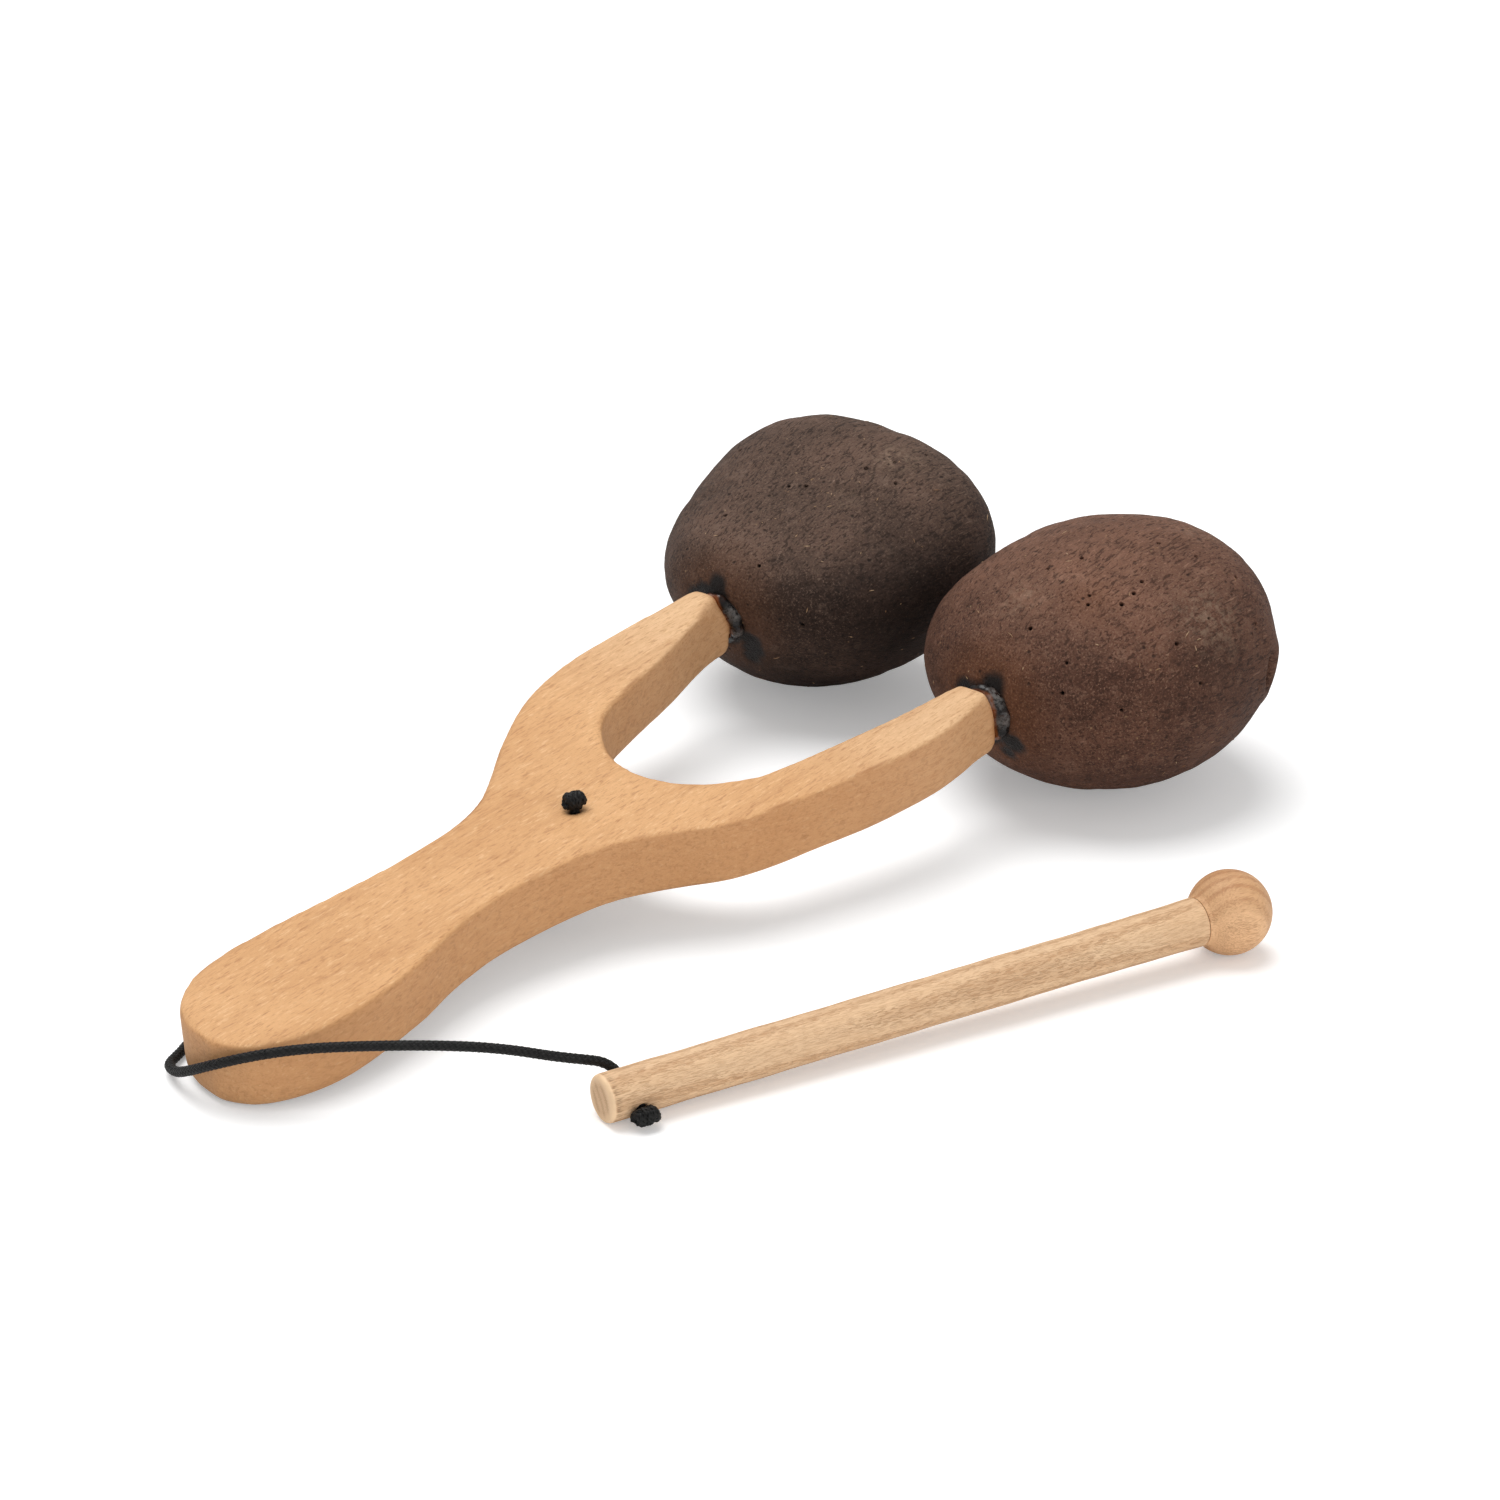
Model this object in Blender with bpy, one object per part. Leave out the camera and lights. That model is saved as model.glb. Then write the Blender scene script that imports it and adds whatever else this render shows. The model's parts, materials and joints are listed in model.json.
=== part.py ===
"""Twin-shell wooden knocker with a tethered beater.

A forked wooden handle carries two hollow nut shells glued on its tines. A braided cord, knotted
over a hole in the handle, runs under the grip and round its butt to a ball-ended beater.
Metres, +Z up. The instrument lies on its rest plane Z = 0, with +Y from the butt to the shells.
The design frame has its origin under the middle of the butt; the instrument_frame empty moves
it, so that the scene's origin is under the middle of the whole footprint.
"""

import math

import bmesh
import bpy
from mathutils import Matrix, Vector
from mathutils.bvhtree import BVHTree

MM = 0.001
FOOTPRINT_CENTRE = Vector((26.96, 159.3, 0.0)) * MM
GAP = 0.3 * MM

# Handle: one flat plank, tilted because its fork is held up by the shells.
PLANK_THICKNESS = 17.6 * MM
PLANK_TILT = math.radians(5.48)
PLANK_DROP = 0.44 * MM
TOP_RIM_RADIUS = 1.8 * MM
LOWER_RIM_RADIUS = 3.2 * MM
RIM_SEGMENTS = 3
LEFT_TINE_END = 235.0
RIGHT_TINE_END = 232.6
TINE_TIP_HALF_WIDTH = 5.5 * MM
LEFT_TINE_X = -46.1 * MM
RIGHT_TINE_X = 44.9 * MM
PEG_RADIUS = 5.0 * MM
PEG_LENGTH = 13.0 * MM
# Outline of the plank in its own plane, in millimetres: across, along.
OUTER_RIGHT = [(5.0, 1.6), (13.6, 4.6), (19.4, 12.4), (22.6, 23.0), (23.0, 35.0), (20.8, 54.0),
               (17.0, 69.5), (15.3, 87.0), (17.4, 107.0), (21.3, 121.0), (29.3, 133.5),
               (37.4, 144.0), (42.0, 155.0), (45.4, 168.0), (49.8, 186.0), (52.1, 204.0),
               (51.8, 216.0), (50.4, 226.0), (50.4, RIGHT_TINE_END)]
CROTCH = [(39.4, RIGHT_TINE_END), (38.6, 225.0), (36.2, 206.0), (33.0, 188.4), (29.7, 172.7),
          (25.6, 162.0), (16.0, 154.2), (4.0, 150.2), (-8.0, 153.6), (-18.6, 161.2),
          (-25.4, 170.6), (-29.4, 185.0), (-33.6, 203.0), (-38.4, 219.0), (-40.6, 229.0),
          (-40.6, LEFT_TINE_END)]
OUTER_LEFT = [(-51.6, LEFT_TINE_END), (-52.2, 217.0), (-52.7, 199.0), (-51.6, 181.0),
              (-46.5, 162.0), (-36.0, 142.0), (-27.2, 129.0), (-20.6, 117.5), (-17.4, 104.0),
              (-17.2, 84.0), (-19.0, 64.0), (-20.9, 42.0), (-20.6, 25.0), (-16.6, 13.2),
              (-7.0, 4.6)]
OUTLINE_STEP = 4.5 * MM
# Whittled corner of each tine tip: three points of the cut plane, across, along, up.
LEFT_TIP_CUT = ((-39.6, 222.0, 17.6), (-45.6, 235.5, 17.6), (-40.6, 232.0, 10.0))
RIGHT_TIP_CUT = ((51.0, 219.0, 17.6), (47.6, 232.0, 17.6), (50.4, 231.0, 13.0))

# Cord, its hole through the handle and the knots.
CORD_RADIUS = 1.25 * MM
CORD_SIDES = 10
CORD_STEP = 3.5 * MM
CORD_HOLE_RADIUS = 1.6 * MM
CORD_HOLE = Vector((2.0, 128.3, 0.0)) * MM
HINGE_CLEARANCE = 1.7 * MM
KNOT_RADIUS = 3.3 * MM
KNOT_HEIGHT = 5.0 * MM
# Cord path between the two holes, in millimetres; a hinge sits at each point named after a joint.
CORD_PATH = [(2.2, 127.0, 7.0), (1.5, 122.0, 3.4), (-2.0, 110.0, 1.6), (-8.5, 92.0, 1.3),
             (-16.0, 72.0, 1.3), (-21.5, 56.0, 1.3), (-24.3, 42.0, 1.3), "tether_swing",
             (-22.7, 22.0, 1.3), (-19.7, 15.0, 1.3), (-17.4, 10.0, 1.5), (-16.0, 6.7, 1.9),
             "tether_fold", (-8.0, 1.0, 4.2),
             (-1.6, -1.0, 7.6), (6.4, -1.7, 12.0), "tether_lift", (20.6, 5.6, 17.4),
             (28.4, 12.8, 18.4), (41.3, 25.3, 18.4), (51.1, 35.6, 17.4), "tether_bend",
             (64.6, 49.6, 14.0), (68.9, 55.9, 12.0), (71.0, 60.0, 10.6)]
HINGE_POINTS = {"tether_swing": (-24.8, 31.0, 1.3), "tether_fold": (-13.6, 3.8, 2.6),
                "tether_lift": (13.8, 0.6, 15.4), "tether_bend": (58.3, 43.0, 16.0)}

# Beater: a turned stick with a spigot, and a ball on its end.
STICK_TAIL = Vector((77.1, 52.3, 6.0)) * MM
BALL_CENTRE = Vector((134.6, 215.3, 10.57)) * MM
STICK_RADIUS = 5.8 * MM
STICK_SIDES = 24
NECK_RADIUS = 6.1 * MM
FLARE_LENGTH = 22.0 * MM
TAIL_CHAMFER = 1.2 * MM
SPIGOT_RADIUS = 4.0 * MM
SPIGOT_LENGTH = 8.0 * MM
BALL_RADIUS = 10.55 * MM
CROSS_HOLE_FROM_TAIL = 7.6 * MM
CROSS_HOLE_LEAN = math.radians(21.0)

# Shells: near pole at the tine, far pole beyond, in millimetres.
SHELL_WALL = 4.0
SHELL_SEGMENTS = 32
SHELL_RINGS = 18
MOUTH_HALF_HEIGHT = 5.0 * MM
MOUTH_HALF_WIDTH = 4.4 * MM
LIP_RISE = 1.2
LIP_RADIUS = 7.0
LIP_WIDTH = 2.2
LEFT_SHELL = {
    "near": (-45.5, 234.8, 31.4), "far": (-48.8, 314.7, 49.9),
    "half_width": 43.3, "half_height": 30.6, "swell": 0.21,
    "lobe3": (0.049, 20.6), "lobe2": (-0.023, 84.4),
    "blunt": (2.59, 2.21), "bow": (0.6, -9.4), "mouth": (112.0, 6.0),
}
RIGHT_SHELL = {
    "near": (45.6, 232.2, 31.0), "far": (48.0, 321.5, 38.1),
    "half_width": 43.8, "half_height": 32.1, "swell": 0.099,
    "lobe3": (0.013, 44.3), "lobe2": (0.069, 72.2),
    "blunt": (2.18, 2.22), "bow": (0.8, -2.0), "mouth": (34.0, 4.0),
}
COLLAR_SEGMENTS = 32
COLLAR_LENGTH = 3.4 * MM
COLLAR_SPREAD = 3.6 * MM
COLLAR_GAP = 0.5 * MM
COLLAR_CORNER_POWER = 8.0
RAY_START = 30.0 * MM


# ---------------------------------------------------------------- scene helpers

def clear_scene():
    for item in list(bpy.data.objects):
        bpy.data.objects.remove(item)


def make_material(name, colour, roughness):
    material = bpy.data.materials.new(name)
    material.use_nodes = True
    shader = material.node_tree.nodes["Principled BSDF"]
    shader.inputs["Base Color"].default_value = (*colour, 1.0)
    shader.inputs["Roughness"].default_value = roughness
    shader.inputs["Metallic"].default_value = 0.0
    return material


class Frame:
    """An empty, with its matrix in the design frame kept beside it."""

    def __init__(self, name, matrix, parent=None):
        self.matrix = matrix
        self.empty = bpy.data.objects.new(name, None)
        bpy.context.collection.objects.link(self.empty)
        if parent is None:
            self.empty.location = -FOOTPRINT_CENTRE
        else:
            self.empty.parent = parent.empty
            self.empty.matrix_basis = parent.matrix.inverted() @ matrix


def axis_matrix(origin, x_axis, z_axis):
    """A frame at origin whose local X and Z run along two perpendicular directions."""
    y_axis = z_axis.cross(x_axis)
    turn = Matrix((x_axis, y_axis, z_axis)).transposed().to_4x4()
    return Matrix.Translation(origin) @ turn


def add_piece(name, mesh_data, frame, material, is_cutter=False):
    """Make an object under frame from a bmesh whose points are in the design frame."""
    bmesh.ops.transform(mesh_data, matrix=frame.matrix.inverted(), verts=mesh_data.verts)
    bmesh.ops.recalc_face_normals(mesh_data, faces=mesh_data.faces)
    mesh = bpy.data.meshes.new(name)
    mesh_data.to_mesh(mesh)
    mesh_data.free()
    mesh.shade_smooth()
    mesh.set_sharp_from_angle(angle=math.radians(38.0))
    piece = bpy.data.objects.new(name, mesh)
    bpy.context.collection.objects.link(piece)
    piece.parent = frame.empty
    if is_cutter:
        piece.hide_render = True
        piece.display_type = "WIRE"
    else:
        mesh.materials.append(material)
    return piece


def add_boolean(piece, other, operation):
    modifier = piece.modifiers.new(f"{operation.lower()}_{other.name}", "BOOLEAN")
    modifier.object = other
    modifier.operation = operation
    modifier.solver = "EXACT"


# ---------------------------------------------------------------- curve and surface helpers

def smooth_curve(points, steps):
    """Catmull-Rom curve through points, with the given number of steps in each span."""
    ends = [points[0] * 2 - points[1]] + list(points) + [points[-1] * 2 - points[-2]]
    curve = []
    for before, start, end, after in zip(ends, ends[1:], ends[2:], ends[3:]):
        for step in range(steps):
            t = step / steps
            curve.append(0.5 * (2 * start + (end - before) * t
                                + (2 * before - 5 * start + 4 * end - after) * t ** 2
                                + (3 * start - before - 3 * end + after) * t ** 3))
    curve.append(points[-1].copy())
    return curve


def even_points(curve, spacing):
    """Points along a polyline at an even spacing close to the one asked for."""
    lengths = [0.0]
    for start, end in zip(curve, curve[1:]):
        lengths.append(lengths[-1] + (end - start).length)
    count = max(2, round(lengths[-1] / spacing) + 1)
    points = []
    index = 0
    for number in range(count):
        target = lengths[-1] * number / (count - 1)
        while index < len(curve) - 2 and lengths[index + 1] < target:
            index += 1
        span = lengths[index + 1] - lengths[index]
        points.append(curve[index].lerp(curve[index + 1], (target - lengths[index]) / span))
    return points


def bridge_rings(mesh_data, rings, closed_loop=False):
    """Quads between neighbouring rings of vertices; a ring of one vertex is a pole."""
    pairs = list(zip(rings, rings[1:]))
    if closed_loop:
        pairs.append((rings[-1], rings[0]))
    for low, high in pairs:
        count = max(len(low), len(high))
        for index in range(count):
            after = (index + 1) % count
            corners = [low[index % len(low)], low[after % len(low)],
                       high[after % len(high)], high[index % len(high)]]
            mesh_data.faces.new(list(dict.fromkeys(corners)))


def lathe(profile, sides):
    """Solid of revolution about local Z; the profile lists (radius, height), ends on the axis."""
    mesh_data = bmesh.new()
    rings = []
    for radius, height in profile:
        count = sides if radius > 0.0 else 1
        rings.append([mesh_data.verts.new((radius * math.cos(math.tau * i / sides),
                                           radius * math.sin(math.tau * i / sides), height))
                      for i in range(count)])
    bridge_rings(mesh_data, rings)
    return mesh_data


def cylinder(matrix, radius, low, high, sides):
    """Plain cylinder about the matrix's local Z, from height low to height high."""
    mesh_data = lathe([(0.0, low), (radius, low), (radius, high), (0.0, high)], sides)
    bmesh.ops.transform(mesh_data, matrix=matrix, verts=mesh_data.verts)
    return mesh_data


# ---------------------------------------------------------------- handle

def plank_outline():
    """Closed outline of the plank in its own plane, counter-clockwise seen from above."""
    outline = []
    butt_to_tip = [Vector((x, y, 0.0)) * MM for x, y in OUTER_RIGHT]
    crotch = [Vector((x, y, 0.0)) * MM for x, y in CROTCH]
    tip_to_butt = [Vector((x, y, 0.0)) * MM for x, y in OUTER_LEFT]
    tip_to_butt.append(butt_to_tip[0])
    for stretch in (butt_to_tip, crotch, tip_to_butt):
        outline += even_points(smooth_curve(stretch, 8), OUTLINE_STEP)
    return outline[:-1]


def extruded_plank():
    """The outline extruded to the plank's thickness, with both rims rounded."""
    mesh_data = bmesh.new()
    outline = plank_outline()
    low = [mesh_data.verts.new(point) for point in outline]
    high = [mesh_data.verts.new(point + Vector((0, 0, PLANK_THICKNESS))) for point in outline]
    mesh_data.faces.new(low[::-1])
    mesh_data.faces.new(high)
    bridge_rings(mesh_data, [low, high])
    for height, radius in ((PLANK_THICKNESS, TOP_RIM_RADIUS), (0.0, LOWER_RIM_RADIUS)):
        rim = [edge for edge in mesh_data.edges
               if all(abs(vertex.co.z - height) < 1e-7 for vertex in edge.verts)]
        bmesh.ops.bevel(mesh_data, geom=rim, offset=radius, segments=RIM_SEGMENTS, profile=0.5,
                        affect="EDGES", clamp_overlap=False)
    caps = [face for face in mesh_data.faces if len(face.verts) > 4]
    bmesh.ops.triangulate(mesh_data, faces=caps, ngon_method="BEAUTY")
    return mesh_data


def tip_cut_block(corners, plank):
    """Block whose lower face lies on the plane of a whittled tine corner."""
    first, second, third = (Vector(corner) * MM for corner in corners)
    along = (second - first).normalized()
    outward = along.cross(third - first).normalized()
    if outward.z < 0.0:
        outward = -outward
    block = bmesh.new()
    bmesh.ops.create_cube(block, size=1.0)
    half = Matrix.Translation((0.0, 0.0, 0.5))
    size = Matrix.Diagonal((46.0 * MM, 24.0 * MM, 8.0 * MM, 1.0))
    place = plank.matrix @ axis_matrix((first + second) / 2, along, outward)
    bmesh.ops.transform(block, matrix=place @ size @ half, verts=block.verts)
    return block


def build_handle(plank, wood):
    mesh_data = extruded_plank()
    bmesh.ops.transform(mesh_data, matrix=plank.matrix, verts=mesh_data.verts)
    handle = add_piece("fork_handle", mesh_data, plank, wood)
    for side, cut in (("left", LEFT_TIP_CUT), ("right", RIGHT_TIP_CUT)):
        block = add_piece(f"{side}_tip_cut", tip_cut_block(cut, plank), plank, None, True)
        add_boolean(handle, block, "DIFFERENCE")
    for side, x, end in (("left", LEFT_TINE_X, LEFT_TINE_END), ("right", RIGHT_TINE_X, RIGHT_TINE_END)):
        peg = cylinder(peg_matrix(plank, x, end * MM), PEG_RADIUS, -3.0 * MM, PEG_LENGTH, 20)
        add_boolean(handle, add_piece(f"{side}_peg_guide", peg, plank, None, True), "UNION")
    hole = cylinder(plank.matrix @ Matrix.Translation(CORD_HOLE), CORD_HOLE_RADIUS,
                    -5.0 * MM, PLANK_THICKNESS + 5.0 * MM, 16)
    add_boolean(handle, add_piece("cord_hole_cut", hole, plank, None, True), "DIFFERENCE")
    return handle


def peg_matrix(plank, x, end):
    """Frame at the middle of a tine's end, with local Z out of the tine."""
    middle = Vector((x, end, PLANK_THICKNESS / 2))
    return plank.matrix @ axis_matrix(middle, Vector((1, 0, 0)), Vector((0, 1, 0)))


# ---------------------------------------------------------------- shells and glue

def direction(azimuth, elevation):
    azimuth, elevation = math.radians(azimuth), math.radians(elevation)
    flat = math.cos(elevation)
    return Vector((flat * math.cos(azimuth), flat * math.sin(azimuth), math.sin(elevation)))


def shell_centre(spec):
    near, far = Vector(spec["near"]), Vector(spec["far"])
    return (near + far) / 2 + Vector((spec["bow"][0], 0.0, spec["bow"][1]))


def shell_point(spec, polar, turn, inset, lip):
    """Point of the shell's surface in millimetres; polar 0 is the near pole, pi the far one."""
    near, far = Vector(spec["near"]), Vector(spec["far"])
    axis = (far - near).normalized()
    side = axis.cross(Vector((0, 0, 1))).normalized()
    up = side.cross(axis)
    power = spec["blunt"][0] if polar < math.pi / 2 else spec["blunt"][1]
    along = -math.copysign(abs(math.cos(polar)) ** (2 / power), math.cos(polar))
    ring = abs(math.sin(polar)) ** (2 / power)
    lobes = (1.0 + spec["lobe3"][0] * math.cos(3 * (turn - math.radians(spec["lobe3"][1])))
             + spec["lobe2"][0] * math.cos(2 * (turn - math.radians(spec["lobe2"][1]))) * along)
    reach = ring * (1.0 + spec["swell"] * along) * lobes
    bow = 1.0 - along ** 2
    half_length = (far - near).length / 2 - inset
    point = ((near + far) / 2 + axis * half_length * along
             + side * ((spec["half_width"] - inset) * reach * math.cos(turn)
                       + spec["bow"][0] * bow)
             + up * ((spec["half_height"] - inset) * reach * math.sin(turn)
                     + spec["bow"][1] * bow))
    mouth = direction(*spec["mouth"])
    offset = point - shell_centre(spec)
    if lip and offset.dot(mouth) > 0.0:
        off_axis = (offset - mouth * offset.dot(mouth)).length
        point += mouth * LIP_RISE * math.exp(-((off_axis - LIP_RADIUS) / LIP_WIDTH) ** 2)
    return point


def shell_surface(spec, inset, lip, rings, segments):
    mesh_data = bmesh.new()
    rows = []
    for row in range(rings + 1):
        polar = math.pi * row / rings
        count = 1 if row in (0, rings) else segments
        rows.append([mesh_data.verts.new(shell_point(spec, polar, math.tau * i / segments,
                                                     inset, lip) * MM)
                     for i in range(count)])
    bridge_rings(mesh_data, rows)
    bmesh.ops.recalc_face_normals(mesh_data, faces=mesh_data.faces)
    return mesh_data


def mouth_cut(spec):
    """Oval cutter through the wall at the shell's mouth."""
    mouth = direction(*spec["mouth"])
    side = Vector((0, 0, 1)).cross(mouth).normalized()
    cutter = lathe([(0.0, 0.0), (1.0, 0.0), (1.0, 1.0), (0.0, 1.0)], 24)
    size = Matrix.Diagonal((MOUTH_HALF_WIDTH, MOUTH_HALF_HEIGHT, 70.0 * MM, 1.0))
    place = axis_matrix(shell_centre(spec) * MM, side, mouth)
    bmesh.ops.transform(cutter, matrix=place @ size, verts=cutter.verts)
    return cutter


def build_shell(side, spec, tine_frame, design, material):
    outer = shell_surface(spec, 0.0, True, SHELL_RINGS, SHELL_SEGMENTS)
    shell = add_piece(f"{side}_shell", outer, design, material)
    cavity = shell_surface(spec, SHELL_WALL, False, SHELL_RINGS - 4, SHELL_SEGMENTS - 12)
    socket = cylinder(tine_frame, PEG_RADIUS + GAP, -10.0 * MM, PEG_LENGTH + 2.0 * MM, 20)
    for label, cutter in (("cavity", cavity), ("socket", socket), ("mouth", mouth_cut(spec))):
        add_boolean(shell, add_piece(f"{side}_{label}_cut", cutter, design, None, True),
                    "DIFFERENCE")
    return shell


def tine_reach(turn):
    """Distance from a tine tip's axis to a rounded rectangle just clear of its sides."""
    half_width = TINE_TIP_HALF_WIDTH + COLLAR_GAP
    half_height = PLANK_THICKNESS / 2 + COLLAR_GAP
    power = COLLAR_CORNER_POWER
    return ((abs(math.cos(turn)) / half_width) ** power
            + (abs(math.sin(turn)) / half_height) ** power) ** (-1 / power)


def build_collar(side, spec, tine_frame, design, material, phase):
    """Ring of glue in the corner between the tine and the shell."""
    surface = shell_surface(spec, 0.0, True, SHELL_RINGS, SHELL_SEGMENTS)
    tree = BVHTree.FromBMesh(surface)
    surface.free()
    inward = tine_frame.to_3x3() @ Vector((0, 0, 1))
    mesh_data = bmesh.new()
    rings = [[], [], [], [], []]
    for index in range(COLLAR_SEGMENTS):
        turn = math.tau * index / COLLAR_SEGMENTS
        inner = tine_reach(turn)
        spread = COLLAR_SPREAD * (1.0 + 0.25 * math.sin(2 * turn + phase))
        middle, outer = inner + 0.5 * spread, inner + spread
        heights = []
        for reach in (inner, middle, outer):
            start = Vector((reach * math.cos(turn), reach * math.sin(turn), -RAY_START))
            hit = tree.ray_cast(tine_frame @ start, inward)
            heights.append(hit[3] - RAY_START - COLLAR_GAP)
        corners = [(inner, heights[0]), (inner, heights[0] - COLLAR_LENGTH),
                   (middle, heights[1] - 0.6 * COLLAR_LENGTH),
                   (outer, heights[2]), (middle, heights[1])]
        for ring, (reach, height) in zip(rings, corners):
            local = Vector((reach * math.cos(turn), reach * math.sin(turn), height))
            ring.append(mesh_data.verts.new(tine_frame @ local))
    bridge_rings(mesh_data, rings, closed_loop=True)
    bmesh.ops.triangulate(mesh_data, faces=mesh_data.faces)
    return add_piece(f"{side}_glue_collar", mesh_data, design, material)


# ---------------------------------------------------------------- cord

def knot_profile(start, surface):
    """Profile of a stub of cord that ends in a knot standing GAP clear of the surface."""
    base = surface + GAP
    profile = [(0.0, start), (CORD_RADIUS, start), (CORD_RADIUS, base)]
    for share in (0.12, 0.3, 0.5, 0.7, 0.88):
        bulge = math.sqrt(1.0 - (2 * share - 1) ** 2)
        profile.append((KNOT_RADIUS * bulge, base + KNOT_HEIGHT * share))
    profile.append((0.0, base + KNOT_HEIGHT))
    return profile


def build_knot(name, matrix, start, surface, frame, material):
    mesh_data = lathe(knot_profile(start, surface), 16)
    for vertex in mesh_data.verts:
        if vertex.co.z > surface + GAP * 1.5:
            vertex.co.x *= 1.15
            vertex.co.y *= 0.88
    bmesh.ops.transform(mesh_data, matrix=matrix, verts=mesh_data.verts)
    return add_piece(name, mesh_data, frame, material)


def cord_curves(start, end):
    """The cord's stretches between hinges, each a list of dense points."""
    points = [start]
    breaks = []
    for entry in CORD_PATH:
        if isinstance(entry, str):
            breaks.append(len(points))
            entry = HINGE_POINTS[entry]
        points.append(Vector(entry) * MM)
    points.append(end)
    steps = 24
    curve = smooth_curve(points, steps)
    marks = [0] + [index * steps for index in breaks] + [len(curve) - 1]
    return [curve[low:high + 1] for low, high in zip(marks, marks[1:])]


def trim(curve, length):
    """The curve without the given length at its start."""
    remaining = length
    for index, (start, end) in enumerate(zip(curve, curve[1:])):
        span = (end - start).length
        if span >= remaining:
            return [start.lerp(end, remaining / span)] + curve[index + 1:]
        remaining -= span
    raise ValueError("the curve is shorter than the length to trim")


def rounded_tube(curve):
    """Tube along a curve with half-round ends, centred on the curve's end points."""
    points = even_points(curve, CORD_STEP)
    normal = (points[1] - points[0]).orthogonal().normalized()
    mesh_data = bmesh.new()
    rings = []

    def add_ring(centre, tangent, radius):
        across = tangent.cross(normal)
        rings.append([mesh_data.verts.new(centre + (normal * math.cos(angle)
                                                    + across * math.sin(angle)) * radius)
                      for angle in (math.tau * i / CORD_SIDES for i in range(CORD_SIDES))])

    def add_end(centre, tangent, sign, slopes):
        for slope in slopes:
            add_ring(centre + tangent * sign * CORD_RADIUS * math.sin(slope), tangent,
                     CORD_RADIUS * math.cos(slope))

    slopes = [math.radians(60.0), math.radians(30.0)]
    for index, point in enumerate(points):
        before, after = points[max(index - 1, 0)], points[min(index + 1, len(points) - 1)]
        tangent = (after - before).normalized()
        normal = (normal - tangent * normal.dot(tangent)).normalized()
        if index == 0:
            rings.append([mesh_data.verts.new(point - tangent * CORD_RADIUS)])
            add_end(point, tangent, -1, slopes)
        add_ring(point, tangent, CORD_RADIUS)
        if index == len(points) - 1:
            add_end(point, tangent, 1, slopes[::-1])
            rings.append([mesh_data.verts.new(point + tangent * CORD_RADIUS)])
    bridge_rings(mesh_data, rings)
    bmesh.ops.triangulate(mesh_data, faces=mesh_data.faces)
    return mesh_data


def build_cord(plank, frames, material):
    """The five stretches of cord, from the handle's hole to the beater's cross hole."""
    start = plank.matrix @ (CORD_HOLE - Vector((0, 0, CORD_RADIUS)))
    end = beater_matrix() @ Vector((0, 0, STICK_RADIUS + GAP + CORD_RADIUS))
    names = ["cord_under", "cord_side", "cord_corner", "cord_front", "cord_end"]
    for name, frame, curve in zip(names, frames, cord_curves(start, end)):
        if name != "cord_under":
            curve = trim(curve, HINGE_CLEARANCE)
        if name != "cord_end":
            curve = trim(curve[::-1], HINGE_CLEARANCE)[::-1]
        add_piece(name, rounded_tube(curve), frame, material)


# ---------------------------------------------------------------- beater

def beater_matrix():
    """Frame on the cross hole's middle: local X along the stick, local Z along the hole."""
    along = (BALL_CENTRE - STICK_TAIL).normalized()
    level = Vector((0, 0, 1)).cross(along).normalized()
    upward = along.cross(level)
    hole = level * math.cos(CROSS_HOLE_LEAN) + upward * math.sin(CROSS_HOLE_LEAN)
    return axis_matrix(STICK_TAIL + along * CROSS_HOLE_FROM_TAIL, along, hole)


def stick_matrix(beater):
    """Frame at the tail with local Z along the stick, for turned profiles."""
    tail = Matrix.Translation((-CROSS_HOLE_FROM_TAIL, 0.0, 0.0))
    return beater @ tail @ Matrix.Rotation(math.radians(90.0), 4, "Y")


def ball_reach():
    """Distances from the tail to the ball's centre and to its flat at the neck."""
    centre = (BALL_CENTRE - STICK_TAIL).length
    return centre, centre - math.sqrt(BALL_RADIUS ** 2 - NECK_RADIUS ** 2)


def build_stick(frame, material):
    flat = ball_reach()[1] - GAP
    profile = [(0.0, 0.0), (STICK_RADIUS - TAIL_CHAMFER, 0.0), (STICK_RADIUS, TAIL_CHAMFER)]
    for step in range(6):
        share = step / 5
        swell = (NECK_RADIUS - STICK_RADIUS) * share ** 2
        profile.append((STICK_RADIUS + swell, flat - FLARE_LENGTH * (1.0 - share)))
    profile += [(SPIGOT_RADIUS, flat), (SPIGOT_RADIUS, flat + SPIGOT_LENGTH),
                (0.0, flat + SPIGOT_LENGTH)]
    mesh_data = lathe(profile, STICK_SIDES)
    bmesh.ops.transform(mesh_data, matrix=stick_matrix(frame.matrix), verts=mesh_data.verts)
    stick = add_piece("beater_stick", mesh_data, frame, material)
    hole = cylinder(frame.matrix, CORD_HOLE_RADIUS, -10.0 * MM, 10.0 * MM, 16)
    add_boolean(stick, add_piece("cross_hole_cut", hole, frame, None, True), "DIFFERENCE")


def build_ball(frame, material):
    centre, flat = ball_reach()
    floor = flat + SPIGOT_LENGTH
    profile = [(0.0, floor), (SPIGOT_RADIUS + GAP, floor), (SPIGOT_RADIUS + GAP, flat)]
    start = math.asin((flat - centre) / BALL_RADIUS)
    rings = 11
    for step in range(rings):
        slope = start + (math.pi / 2 - start) * step / rings
        profile.append((BALL_RADIUS * math.cos(slope), centre + BALL_RADIUS * math.sin(slope)))
    profile.append((0.0, centre + BALL_RADIUS))
    mesh_data = lathe(profile, STICK_SIDES)
    bmesh.ops.transform(mesh_data, matrix=stick_matrix(frame.matrix), verts=mesh_data.verts)
    add_piece("beater_ball", mesh_data, frame, material)


# ---------------------------------------------------------------- assembly

def upright_frame(joint, parent):
    return Frame(f"{joint}_axis", Matrix.Translation(Vector(HINGE_POINTS[joint]) * MM), parent)


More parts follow.
